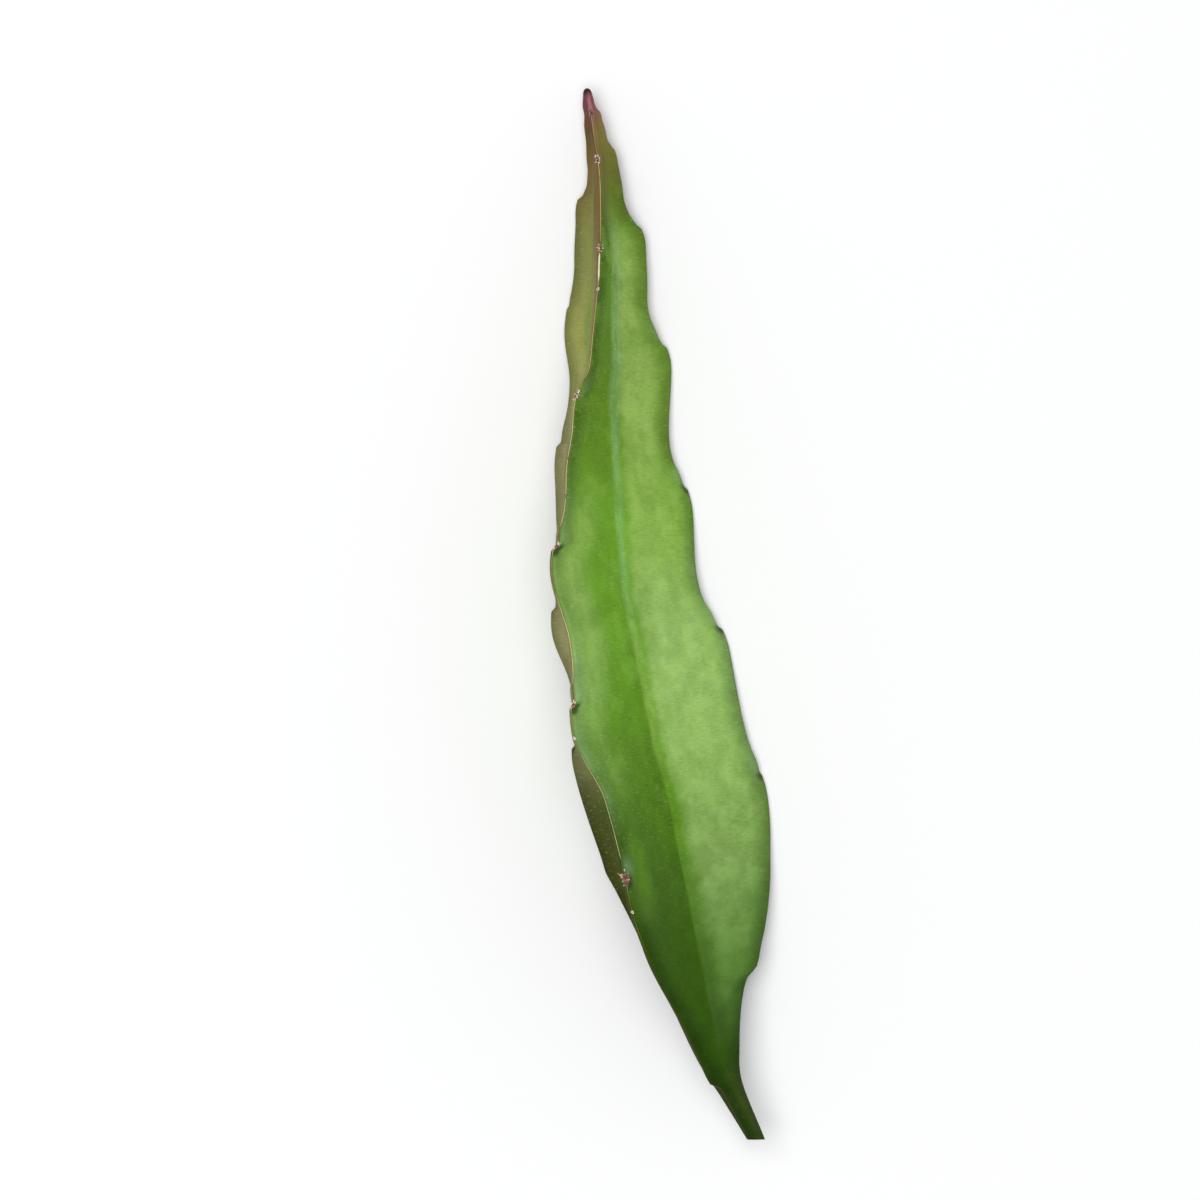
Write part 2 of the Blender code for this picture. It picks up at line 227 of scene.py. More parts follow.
# Fineness of the surfaces: rows along a piece and points round it
STATIONS = 520
EDGE_POINTS = 15
FACE_POINTS = 45
PER_WING = EDGE_POINTS + FACE_POINTS
RING = 3 * PER_WING
CORNER_DENSITY = 3.0
CORNER_SPAN = 2.5
TIP_RINGS = 8
TIP_LENGTH = 1.3
TIP_GAP = 0.004
MARGIN_ROWS, MARGIN_SIDES = 520, 10
DOME_ROWS, DOME_SIDES = 9, 22
SPINE_ROWS, SPINE_SIDES = 6, 8
HAIR_ROWS, HAIR_SIDES = 3, 3
SCALE_ROWS, SCALE_SIDES = 7, 12
# The floor's softness, and the height below which it is felt
SOFT_FLOOR = 0.12
LOW = 3.0

# The stage, in metres
FLOOR_HALF = 6.0
LIGHT_PLACE = (-0.6, 0.15, 3.0)
LIGHT_SIZE = 3.0
SKY_COLOUR = (0.97, 0.98, 1.0, 1.0)
HORIZON_HEIGHT, ZENITH_HEIGHT = 0.1, 0.6
SENSOR = 36.0
VIEW_WIDTH = 0.3393
VIEW_MIDDLE = (-0.0116, 0.0070)


# Curves along the stem
def smooth_key(keys, at):
    """Monotone cubic curve through (station, value) keys, read at the stations in at."""
    table = np.array(keys)
    x, y = table[np.argsort(table[:, 0])].T
    rise = np.diff(y) / np.diff(x)
    product = rise[:-1] * rise[1:]
    total = rise[:-1] + rise[1:]
    inner = np.where(product > 0.0, 2.0 * product / np.where(total == 0.0, 1.0, total), 0.0)
    slope = np.concatenate([rise[:1], inner, rise[-1:]])
    at = np.clip(np.asarray(at, dtype=float), x[0], x[-1])
    i = np.clip(np.searchsorted(x, at, side="right") - 1, 0, len(x) - 2)
    width = x[i + 1] - x[i]
    t = (at - x[i]) / width
    start = (2.0 * t**3 - 3.0 * t**2 + 1.0) * y[i] + (t**3 - 2.0 * t**2 + t) * width * slope[i]
    finish = (3.0 * t**2 - 2.0 * t**3) * y[i + 1] + (t**3 - t**2) * width * slope[i + 1]
    return start + finish


def smooth_step(low, high, value):
    """0 below low, 1 above high, and 3t^2 - 2t^3 between them."""
    t = np.clip((value - low) / (high - low), 0.0, 1.0)
    return t * t * (3.0 - 2.0 * t)


def window(value, rise, full, fall, end):
    """0 before rise, 1 from full to fall, and 0 again after end, as a product of two smooth steps."""
    return smooth_step(rise, full, value) * smooth_step(end, fall, value)


def bell(value, middle, width):
    """A bell curve: e to the power of -t^2, where t is the distance from the middle in widths."""
    return np.exp(-(((value - middle) / width) ** 2))


def lobed_reach(wing, at):
    """Reach of one wing: per lobe a waist, a steepening rise to its corner, a rounded shoulder, an easy fall.

    Just above each corner a short bite is taken out, deeper on the taller lobes, so that it stands out.
    """
    lobes, end = wing["lobes"], wing["end"]
    low = lobes[-1]
    last_shoulder = low[0] - SHOULDER_SHARE * (low[0] - end[0][0])
    reach = smooth_key((*end, (last_shoulder, low[2]), (last_shoulder + 1.0, low[2])), at)
    before_at, before = LENGTH, TIP_REACH
    bite = np.zeros_like(reach)
    corners = [LENGTH, *(lobe[0] for lobe in lobes), end[0][0]]
    for above, below, (corner, waist, shoulder) in zip(corners, corners[2:], lobes):
        waist_at = corner + WAIST_SHARE * (above - corner)
        shoulder_at = corner - SHOULDER_SHARE * (corner - below)
        corner_reach = waist + CORNER_RISE * (shoulder - waist)
        fall = smooth_step(0.0, 1.0, (before_at - at) / (before_at - waist_at))
        fall = before + (waist - before) * fall
        rise = np.clip((waist_at - at) / (waist_at - corner), 0.0, 1.0)
        rise = waist + (corner_reach - waist) * rise**RISE_POWER
        crest_shade_ease = np.clip((corner - at) / (corner - shoulder_at), 0.0, 1.0)
        crest_shade_ease = shoulder - (shoulder - corner_reach) * (1.0 - crest_shade_ease) ** ROUND_POWER
        reach = np.where((at <= before_at) & (at > waist_at), fall, reach)
        reach = np.where((at <= waist_at) & (at > corner), rise, reach)
        reach = np.where((at <= corner) & (at > shoulder_at), crest_shade_ease, reach)
        before_at, before = shoulder_at, shoulder
        bite = bite + (shoulder - waist) * window(at - corner, *BITE)
    return reach - wing["bite"] * bite


def centre_line(at):
    """Points of the centre line at the given stations."""
    line = np.array(CENTRE_LINE)
    x = smooth_key(line[:, :2], at)
    z = smooth_key(line[:, ::2], at)
    return np.stack([CUT_X + x, CUT_Y + np.asarray(at, dtype=float), z], axis=-1)


def unit(vectors):
    """The same directions with length 1."""
    return vectors / np.maximum(np.linalg.norm(vectors, axis=-1, keepdims=True), 1e-12)


def cross_frame(at):
    """Centre point, and the ahead, sideways and upward directions, at the given stations."""
    middle = np.clip(at, PROBE, LENGTH - PROBE)
    ahead = unit(centre_line(middle + PROBE) - centre_line(middle - PROBE))
    side = unit(np.cross(ahead, [0.0, 0.0, 1.0]))
    return centre_line(at), ahead, side, np.cross(side, ahead)


def wing_values(at):
    """Angle, reach and edge radius of the three wings, each as an array (wing, station)."""
    turn = np.radians([smooth_key(wing["turn"], at) for wing in WINGS])
    reach = np.array([lobed_reach(wing, at) for wing in WINGS])
    return turn, reach, np.minimum(smooth_key(EDGE, at), EDGE_SHARE * reach)


def rings_flat(at):
    """Cross-sections as (sideways, up) points, an array (station, ring, 2).

    Each wing ends in a half circle of its edge radius. Between two wings runs a rational quadratic curve,
    pulled towards a point on the wings' bisector. Its parameter is spaced by a cosine, closest at the edges.
    On the stalk the half circles would cross, so each stops just short of the bisector, at the swing whose
    sine from there is (sin(half gap) (reach - radius) - room) / radius, and the pull is moved out to them.
    """
    turn, reach, radius = wing_values(at)
    gap = (np.roll(turn, -1, axis=0) - turn) % TURN
    halves = np.stack([np.roll(gap, 1, axis=0), gap]) / 2.0
    short = ((reach - radius) * np.sin(halves) - VALLEY_ROOM) / radius
    limit = np.minimum(halves + np.arcsin(np.clip(short, -1.0, 1.0)), TURN / 4)
    out = np.stack([np.cos(turn), np.sin(turn)], axis=-1)
    across = np.stack([-np.sin(turn), np.cos(turn)], axis=-1)
    swing = np.linspace(-1.0, 1.0, EDGE_POINTS)
    swing = (swing * np.where(swing < 0.0, limit[0][..., None], limit[1][..., None]))[..., None]
    rounding = np.cos(swing) * out[:, :, None] + np.sin(swing) * across[:, :, None]
    arc = (out * (reach - radius)[..., None])[:, :, None] + radius[..., None, None] * rounding
    start = arc[:, :, -1:]
    finish = np.roll(arc, -1, axis=0)[:, :, :1]
    bisector = turn + gap / 2.0
    bisector = np.stack([np.cos(bisector), np.sin(bisector)], axis=-1)
    cut_short = 1.0 - np.minimum(limit[1], np.roll(limit[0], -1, axis=0)) / (TURN / 4)
    mouth = (0.5 * (start + finish)[:, :, 0] * bisector).sum(axis=-1)
    flesh = smooth_key(FLESH, at)
    moved = smooth_step(0.0, CUT_SHORT_FULL, cut_short) * np.maximum(mouth - VALLEY_LIFT - flesh, 0.0)
    pull = bisector * (flesh + moved)[..., None]
    t = (0.5 - 0.5 * np.cos(math.pi * np.linspace(0.0, 1.0, FACE_POINTS + 2)[1:-1]))[:, None]
    middle_weight = 2.0 * VALLEY_TIGHTNESS * t * (1.0 - t)
    face = (1.0 - t) ** 2 * start + middle_weight * pull[:, :, None] + t**2 * finish
    face = face / ((1.0 - t) ** 2 + middle_weight + t**2)
    return np.concatenate([arc, face], axis=2).transpose(1, 0, 2, 3).reshape(len(at), RING, 2)


def ring_marks(flat):
    """Distance round each ring to the nearest crest, signed distance from the face's valley, and the face.

    All are in millimetres. The signed distance is positive towards the wing that the face starts at. Face 0
    runs from the right wing to the upper one, face 1 on to the left one, and face 2 is the underside.
    """
    step = np.linalg.norm(np.roll(flat, -1, axis=1) - flat, axis=-1)
    length = step.sum(axis=1, keepdims=True)
    here = np.cumsum(step, axis=1) - step
    index = np.arange(RING)
    face = np.where(index % PER_WING >= EDGE_POINTS // 2, index // PER_WING, (index // PER_WING - 1) % 3)
    crests = here[:, EDGE_POINTS // 2 :: PER_WING]
    valleys = here[:, EDGE_POINTS + FACE_POINTS // 2 :: PER_WING]
    from_crest = (here - crests[:, face]) % length
    width = ((np.roll(crests, -1, axis=1) - crests) % length)[:, face]
    return np.minimum(from_crest, width - from_crest), (valleys - crests)[:, face] - from_crest, face


def waves(along, around, seed, longest, shortest):
    """Smooth noise of about -1 to 1: a sum of sine waves of seeded lengths, directions and starts."""
    rng = np.random.default_rng(seed)
    total = np.zeros(np.broadcast(along, around).shape)
    for _ in range(SINES):
        length = rng.uniform(shortest, longest)
        heading = rng.uniform(0.0, TURN)
        start = rng.uniform(0.0, TURN)
        phase = TURN * (along * math.cos(heading) + around * math.sin(heading)) / length
        total += np.sin(phase + start)
    return total / math.sqrt(2.0 * SINES)


def close_stations(low, high, count):
    """Stations from low to high, set closer together near the wings' corners by a sum of bell curves."""
    fine = np.linspace(low, high, 8 * count)
    corners = np.array([lobe[0] for wing in WINGS for lobe in wing["lobes"]])
    density = 1.0 + CORNER_DENSITY * bell(fine[:, None], corners, CORNER_SPAN).sum(axis=1)
    walk = np.cumsum(density) - density[0]
    return np.interp(np.linspace(0.0, walk[-1], count), walk, fine)


def areole_stations(wing):
    """Stations of a wing's areoles: in the notch just above each corner, and any near its lower end."""
    at = np.array([lobe[0] + AREOLE_SETBACK for lobe in wing["lobes"]] + list(wing["low_areoles"]))
    return at[lobed_reach(wing, at) >= SMALLEST_REACH]


def crest_frame(index, at):
    """Points on one wing's crest with their along, across and outward directions, square to each other."""
    near = np.clip(np.stack([at - PROBE, at, at + PROBE]), 0.0, LENGTH - 0.05)
    turn, reach, _ = wing_values(near.ravel())
    centre, _, side, up = cross_frame(near.ravel())
    turn, reach = turn[index][:, None], reach[index][:, None]
    out = np.cos(turn) * side + np.sin(turn) * up
    edge = (centre + reach * out).reshape(3, -1, 3)
    along = unit(edge[2] - edge[0])
    across = unit(np.cross(along, out.reshape(3, -1, 3)[1]))
    return edge[1], along, across, unit(np.cross(across, along))


# Meshes
def tube_faces(bodies, rows, sides):
    """Faces of many like closed tubes, whose points are rings, then a start pole and an end pole."""
    size = rows * sides + 2
    j = np.arange(sides)
    k = (j + 1) % sides
    ring = (np.arange(rows - 1) * sides)[:, None]
    quads = np.stack([ring + j, ring + k, ring + sides + k, ring + sides + j], axis=-1).reshape(-1, 4)
    last = (rows - 1) * sides
    pole = np.full(sides, size - 2)
    tris = np.concatenate([
        np.stack([k, j, pole], axis=-1),
        np.stack([last + j, last + k, pole + 1], axis=-1),
    ])
    shift = (np.arange(bodies) * size)[:, None, None]
    return (quads[None] + shift).reshape(-1, 4), (tris[None] + shift).reshape(-1, 3)


def enclosed(points, quads, tris):
    """Six times the volume that the faces enclose, negative if they face inwards."""
    a, b, c = points[np.concatenate([tris, quads[:, :3], quads[:, [0, 2, 3]]])].transpose(1, 0, 2)
    return np.einsum("ij,ij->", a, np.cross(b, c))


def renewed(blocks, name, *more):
    """A new data block, in place of an old one of its name."""
    old = blocks.get(name)
    if old is not None:
        blocks.remove(old)
    return blocks.new(name, *more)


def add_object(name, data):
    """A new object at the origin, linked to the scene."""
    made = renewed(bpy.data.objects, name, data)
    bpy.context.scene.collection.objects.link(made)
    return made


def make_tubes(name, points, rows, sides, materials, attributes=None, second_rows=0):
    """A smooth-shaded object of like closed tubes, from points (tube, point, 3) in millimetres.

    Attributes are values or vectors at the points. The faces are turned outwards, and those of the first rows
    take the second material.
    """
    quads, tris = tube_faces(len(points), rows, sides)
    points = points.reshape(-1, 3)
    if enclosed(points, quads, tris) < 0.0:
        quads, tris = quads[:, ::-1], tris[:, ::-1]
    data = renewed(bpy.data.meshes, name)
    data.from_pydata((points * MM).tolist(), [], quads.tolist() + tris.tolist())
    for label, values in (attributes or {}).items():
        kind, part = ("FLOAT_VECTOR", "vector") if values.ndim == 2 else ("FLOAT", "value")
        layer = data.attributes.new(label, kind, "POINT")
        layer.data.foreach_set(part, values.astype(np.float32).ravel())
    for material in materials:
        data.materials.append(material)
    if second_rows:
        second = np.zeros(len(quads) + len(tris), dtype=np.int32)
        second[: second_rows * sides] = 1
        second[len(quads) : len(quads) + sides] = 1
        data.polygons.foreach_set("material_index", second)
    data.shade_smooth()
    data.update()
    return add_object(name, data)


def above_floor(points):
    """Heights bent softly so that nothing is below the floor: half of z plus the root of z^2 + e^2."""
    z = points[..., 2]
    lifted = 0.5 * (z + np.sqrt(z * z + SOFT_FLOOR**2))
    return np.concatenate([points[..., :2], np.where(z < LOW, lifted, z)[..., None]], axis=-1)


# Materials
def linear(colour):
    """Screen colour to linear light, by the usual screen curve, with alpha 1."""
    c = np.array(colour[:3])
    return (*np.where(c <= 0.04045, c / 12.92, ((c + 0.055) / 1.055) ** 2.4).tolist(), 1.0)


class Value:
    """What nodes work out at every point of a surface. Sums, differences and products give new values."""

    def __init__(self, paint, socket):
        self.paint = paint
        self.socket = socket

    def math(self, operation, other=0.0):
        return self.paint.node("ShaderNodeMath", {0: self, 1: other}, operation=operation)

    def __add__(self, other):
        return self.math("ADD", other)

    def __sub__(self, other):
        return self.math("SUBTRACT", other)

    def __mul__(self, other):
        return self.math("MULTIPLY", other)

    def step(self, low, high, start=0.0, finish=1.0, kind="SMOOTHSTEP"):
        """From start to finish as the value goes from low to high, by a smooth step or the given kind."""
        limits = {"Value": self, "From Min": low, "From Max": high, "To Min": start, "To Max": finish}
        return self.paint.node("ShaderNodeMapRange", limits, interpolation_type=kind)

    def window(self, rise, full, fall, end):
        """0 before rise, 1 from full to fall, and 0 again after end."""
        return self.step(rise, full) * self.step(fall, end, 1.0, 0.0)

    def other(self, output):
        """Another output of the same node."""
        return Value(self.paint, self.socket.node.outputs[output])

    def parts(self):
        """The three parts of a vector."""
        split = self.paint.node("ShaderNodeSeparateXYZ", {0: self})
        return [split.other(i) for i in range(3)]


class Paint:
    """A short way to write the nodes of a material or a world. A colour can be the name of a setting."""

    def __init__(self, name, settings, blocks="materials", shader="Principled BSDF"):
        self.block = renewed(getattr(bpy.data, blocks), name)
        self.block.use_nodes = True
        self.tree = self.block.node_tree
        self.shader = self.tree.nodes[shader]
        self.settings = settings

    def node(self, kind, inputs, output=0, **options):
        """A new node's output, with its inputs joined or set."""
        made = self.tree.nodes.new(kind)
        for key, value in options.items():
            setattr(made, key, value)
        for key, value in inputs.items():
            self.feed(made.inputs[key], value)
        return Value(self, made.outputs[output])

    def feed(self, socket, value):
        """Join a socket to a value, or set it to a number, a colour or a named colour."""
        if isinstance(value, Value):
            self.tree.links.new(value.socket, socket)
        elif isinstance(value, str):
            socket.default_value = linear(getattr(self.settings, value))
        else:
            socket.default_value = value

    def blend(self, share, a, b, kind="MIX"):
        """Colour a turning into colour b by share."""
        colours = {0: share, 6: a, 7: b}
        return self.node("ShaderNodeMix", colours, 2, data_type="RGBA", blend_type=kind, clamp_factor=True)

    def coats(self, base, *coats):
        """A colour with others laid over it in turn, each by its share."""
        for share, colour in coats:
            base = self.blend(share, base, colour)
        return base

    def shade(self, colour, factor):
        """A colour with all its parts multiplied by one factor."""
        grey = self.node("ShaderNodeCombineXYZ", {0: factor, 1: factor, 2: factor})
        return self.blend(1.0, colour, grey, "MULTIPLY")

    def attribute(self, name, output="Vector"):
        return self.node("ShaderNodeAttribute", {}, output, attribute_name=name)

    def noise(self, scale, detail=2.0, roughness=0.5, where=None):
        """Noise in the object's space, in waves to the metre, or in another vector's."""
        where = where or self.node("ShaderNodeTexCoord", {}, "Object")
        inputs = {"Vector": where, "Scale": scale, "Detail": detail, "Roughness": roughness}
        return self.node("ShaderNodeTexNoise", inputs, "Fac")

    def grain(self, along, around, detail=3.0):
        """Noise on the skin, in waves to the millimetre along the stem and round it."""
        stretch = {0: self.attribute("skin_place"), 1: (along, around, 0.0)}
        place = self.node("ShaderNodeVectorMath", stretch, operation="MULTIPLY")
        return self.noise(1.0, detail, where=place)

    def bump(self, height, distance, strength, below=None):
        inputs = {"Height": height, "Distance": distance, "Strength": strength}
        if below is not None:
            inputs["Normal"] = below
        return self.node("ShaderNodeBump", inputs)

    def finish(self, **sockets):
        """Feed the shader's sockets, and give the material or world."""
        for key, value in sockets.items():
            self.feed(self.shader.inputs[key.replace("_", " ")], value)
        return self.block


# Settings that a user would change
def tone(name, description, default):
    """A screen colour."""
    return FloatVectorProperty(
        name=name, description=description, subtype="COLOR_GAMMA", size=3, min=0.0, max=1.0, default=default
    )


def millimetres(name, description, default, high):
    """A length in millimetres."""
    return FloatProperty(name=name, description=description + ", in mm", default=default, min=0.0, max=high)


def amount(name, description, default, unit="NONE"):
    """A number that isn't negative."""
    return FloatProperty(name=name, description=description, default=default, min=0.0, unit=unit)


class CUTTING_PG_form(bpy.types.PropertyGroup):
    """Small forms of the skin, margins and areoles, in millimetres."""

    unevenness: millimetres("Unevenness", "Height of the skin's slow waves", 0.26, 2.0)
    swelling: millimetres("Swelling", "Rise of the skin above each areole", 0.5, 3.0)
    notch_depth: millimetres("Notch depth", "Depth of the hollow under each areole", 0.7, 3.0)
    trace_depth: millimetres("Trace depth", "Depth of the vein below each areole", 0.22, 1.0)
    margin_width: millimetres("Margin width", "Width of the horny margins", 0.27, 3.0)
    margin_height: millimetres("Margin height", "Height of the horny margins", 0.10, 1.0)
    cushion_length: millimetres("Cushion length", "Half length of a large areole's felt", 1.2, 4.0)
    spine_length: millimetres("Spine length", "Length that the spines are shares of", 3.0, 8.0)
    spine_radius: millimetres("Spine radius", "Radius of a spine at its root", 0.27, 1.0)
    wool_length: millimetres("Wool length", "Length of the areoles' hairs", 0.6, 4.0)
    wool_count: IntProperty(name="Wool count", description="Hairs in one areole", default=80, min=1, max=300)
    scale_length: millimetres("Scale length", "Length of the dry scale at each areole", 1.1, 4.0)
    cut_dish: millimetres("Cut dish", "How far the dried cut has sunk in", 0.45, 2.0)
    bundle_count: IntProperty(name="Bundle count", description="Fibre bundles in the cut", default=11, min=3)


class CUTTING_PG_colours(bpy.types.PropertyGroup):
    """The cutting's colours."""

    old_green: tone("Old green", "Flesh near the cut end", (0.15, 0.27, 0.03))
    stalk_olive: tone("Stalk olive", "Flesh of the stalk's lighter side", (0.28, 0.35, 0.15))
    mature_green: tone("Mature green", "Flesh of the lower third", (0.215, 0.36, 0.035))
    fresh_green: tone("Fresh green", "Flesh of the widest part", (0.425, 0.63, 0.152))
    young_green: tone("Young green", "Flesh towards the tip", (0.375, 0.533, 0.11))
    # The pale, green and warm wax colours are wax with a painted sheen; the bluish valley colour is a painted
    # sheen
    wax: tone("Wax", "Pale wax on the broad faces", (0.735, 0.853, 0.557))
    cloud_green: tone("Cloud green", "Brighter clouds in the skin", (0.56, 0.75, 0.31))
    wax_low: tone("Green wax", "Wax on the broad faces towards the stalk", (0.62, 0.87, 0.40))
    wax_streak: tone("Streak wax", "Bluish wax along the valley", (0.65, 0.84, 0.64))
    wax_warm: tone("Warm wax", "Wax on the broad faces towards the tip", (0.735, 0.845, 0.49))
    # This bloom colour is wax bloom with a painted bluish sheen, and a painted highlight on the swellings
    wax_bloom: tone("Wax bloom", "Bluish wax near the edges and areoles", (0.60, 0.72, 0.56))
    # This colour is painted shade in the hollows below the areoles
    notch_green: tone("Notch green", "Flesh in the hollows below the areoles", (0.18, 0.245, 0.11))
    # The dark and grey olives are sun tan darkened by painted shade
    olive_dark: tone("Dark olive", "Sunned faces of the lower half", (0.27, 0.30, 0.10))
    olive_grey: tone("Grey olive", "Sunned faces of the middle", (0.572, 0.564, 0.38))
    olive_light: tone("Light olive", "Sunned faces towards the tip", (0.565, 0.580, 0.31))
    olive_tan: tone("Olive tan", "Sunned face beside the upper crest", (0.50, 0.41, 0.30))
    tip_brown: tone("Tip brown", "Skin just below the tip", (0.46, 0.415, 0.215))
    tip_rust: tone("Tip rust", "Sunned skin just below the tip", (0.43, 0.34, 0.18))
    tip_red: tone("Tip red", "The youngest growth", (0.50, 0.31, 0.32))
    # Tip pink carries a painted highlight where it lies on the upper crest
    tip_pink: tone("Tip pink", "The upper crest of the youngest growth", (0.74, 0.46, 0.54))
    tip_dark: tone("Tip dark", "The dried point of the tip", (0.25, 0.15, 0.17))
    margin_straw: tone("Straw margin", "The upper wing's horny margin", (0.80, 0.74, 0.53))
    margin_cream: tone("Cream margin", "Margin just above an areole", (0.90, 0.86, 0.74))
    margin_brown: tone("Brown margin", "Weathered margin", (0.38, 0.27, 0.20))
    felt: tone("Felt", "Areole cushions", (0.55, 0.41, 0.32))
    felt_dark: tone("Dark felt", "Shaded felt and the roots of spines", (0.31, 0.18, 0.15))
    wool: tone("Wool", "Areole hairs", (0.92, 0.86, 0.76))
    spine: tone("Spine", "Middle of a spine", (0.70, 0.50, 0.42))
    husk: tone("Husk", "Dry scales", (0.50, 0.36, 0.27))
    cut_flesh: tone("Cut flesh", "The dried cut", (0.66, 0.63, 0.42))
    bundle: tone("Bundle", "Fibre bundles in the cut", (0.82, 0.76, 0.56))


class CUTTING_PG_stage(bpy.types.PropertyGroup):
    """Floor, lights and camera."""

    camera_height: amount("Camera height", "Height of the camera above the floor", 2.8, "LENGTH")
    key_power: amount("Key power", "Power of the overhead light, in W", 84.0)
    horizon: amount("Horizon", "Strength of the even light at the horizon", 0.82)
    zenith: amount("Zenith", "Strength of the even light overhead", 0.38)
    floor_colour: tone("Floor colour", "The plain floor", (0.96, 0.96, 0.96))


# Stem
def face_weights(face):
    """How far each point of a ring belongs to a face made olive by sun tan and painted shade, and to the
    broad face.

    Both are softened at the crests, as the mean of a point and its two neighbours on either side.
    """
    weights = np.array([TAN_AND_SHADE, BROAD])[:, face]
    return [np.convolve(np.concatenate([row[-2:], row, row[:2]]), np.full(5, 0.2), "valid") for row in weights]


def spot(below, rim, size, shape):
    """A bell curve round a point beside an areole, at a distance below it and in from the crest."""
    down, inward, half_length, half_width = [size * part for part in shape]
    return np.exp(-(((below - down) / half_length) ** 2) - ((rim - inward) / half_width) ** 2)


def areole_fields(stations, rim):
    """Closeness of every skin point to the swellings above the areoles, the hollows below them and the veins.

    The first two are bell curves round a point beside the areole. A vein is a bell curve round the line that
    leaves the areole inwards and towards the cut end, at VEIN_SLOPE. All shrink with the wing.
    """
    swelling, hollow, vein = np.zeros_like(rim), np.zeros_like(rim), np.zeros_like(rim)
    for i, wing in enumerate(WINGS):
        own = np.zeros(RING, dtype=bool)
        own[(np.arange(-(FACE_POINTS // 2), EDGE_POINTS + FACE_POINTS // 2) + i * PER_WING) % RING] = True
        for at in areole_stations(wing):
            reach = float(lobed_reach(wing, np.array([at]))[0])
            size = min(max(reach / FULL_REACH, SMALLEST_MARK), 1.0)
            deep = size * float(smooth_step(*DEEP_NOTCH, reach)) * wing["notch"]
            below = (at - stations)[:, None]
            off_line = (below - VEIN_SLOPE * rim) / math.hypot(1.0, VEIN_SLOPE)
            line = bell(off_line, 0.0, VEIN_WIDTH) * window(rim, *VEIN_REACH)
            swelling = np.maximum(swelling, spot(below, rim, size, SWELLING) * own * size)
            hollow = np.maximum(hollow, spot(below, rim, size, HOLLOW) * own * deep)
            vein = np.maximum(vein, line * own * size)
    return swelling, hollow, vein


def stem_surface(form):
    """Points (station, ring, 3) and attributes of the stem's skin.

    Cross-sections are carried along the centre line, domed off at the tip and sheared onto the slanting cut.
    The skin then moves along its normals by slow and quick waves, swellings above the areoles, hollows below
    them, and shallow veins.
    """
    dome = TIP_LENGTH * (np.sin(np.linspace(0.0, TURN / 4, TIP_RINGS + 1)[1:]) - 1.0)
    body = close_stations(0.0, LENGTH - TIP_LENGTH, STATIONS - TIP_RINGS)
    stations = np.concatenate([body, LENGTH + dome - TIP_GAP])
    flat = rings_flat(stations)
    rim, valley, face = ring_marks(flat)
    over = np.maximum(stations - LENGTH + TIP_LENGTH, 0.0) / TIP_LENGTH
    flat = flat * np.sqrt(1.0 - over**2)[:, None, None]
    centre, ahead, side, up = cross_frame(stations)
    points = centre[:, None] + flat[..., :1] * side[:, None] + flat[..., 1:] * up[:, None]

    behind = (np.array([CUT_X, CUT_Y, 0.0]) - points[0]) @ CUT_INWARD / (ahead[0] @ CUT_INWARD)
    fade = np.clip(1.0 - stations / CUT_BLEND, 0.0, 1.0) ** 2
    points = points + fade[:, None, None] * behind[None, :, None] * ahead[0]

    round_ring = np.roll(points, -1, axis=1) - np.roll(points, 1, axis=1)
    normals = unit(np.cross(np.gradient(points, axis=0), round_ring))
    if np.einsum("ijk,ijk->", normals, points - centre[:, None]) < 0.0:
        normals = -normals

    along = stations[:, None]
    around = valley + FACE_APART * face
    uneven = waves(along, around, *SLOW_WAVES) + QUICK_SHARE * waves(along, around, *QUICK_WAVES)
    swelling, hollow, vein = areole_fields(stations, rim)
    lift = smooth_step(*WAVES_FROM_CREST, rim) * smooth_step(*WAVES_FROM_CUT, along)
    lift = lift * form.unevenness * uneven
    lift = lift + form.swelling * swelling - form.trace_depth * vein
    lift = lift - form.notch_depth * hollow * smooth_step(*HOLLOW_FROM_CREST, rim)
    lift = lift * smooth_step(*ALL_FROM_TIP, LENGTH - along)
    tan_and_shade, broad = face_weights(face)
    layers = {
        "skin_place": (along, around, rim),
        "skin_zone": (tan_and_shade, valley, broad),
        "skin_marks": (swelling, hollow, vein),
    }
    layers = {label: np.stack(np.broadcast_arrays(*parts), axis=-1) for label, parts in layers.items()}
    return above_floor(points + lift[..., None] * normals), layers


def cut_rings(ring, form):
    """Rings of the cut end from near its middle to its rim, their share of the rim's size, and the middle.

    Each is the rim's ring drawn in towards its middle. It first rolls over a small lip, then sinks by a dish
    of depth times 1 - share^3, with faint radial puckers.
    """
    middle = ring.mean(axis=0)
    inner = CUT_RINGS - len(LIP_SHARES)
    share = np.concatenate([np.linspace(*INNER_SHARES, inner), LIP_SHARES])
    lip = np.concatenate([np.zeros(inner), LIP_HEIGHTS])
    aside = (ring - middle) @ np.cross(CUT_INWARD, [0.0, 0.0, 1.0])
    angle = np.arctan2((ring - middle)[:, 2], aside)
    pucker = sum(height * np.sin(count * angle + start) for height, count, start in PUCKERS)
    sink = form.cut_dish * (1.0 - share[:, None] ** 3) + pucker * (4.0 * share * (1.0 - share))[:, None]
    rings = middle + (ring - middle) * share[:, None, None] + (sink - lip[:, None])[..., None] * CUT_INWARD
    return rings, share, middle + CUT_INWARD * form.cut_dish


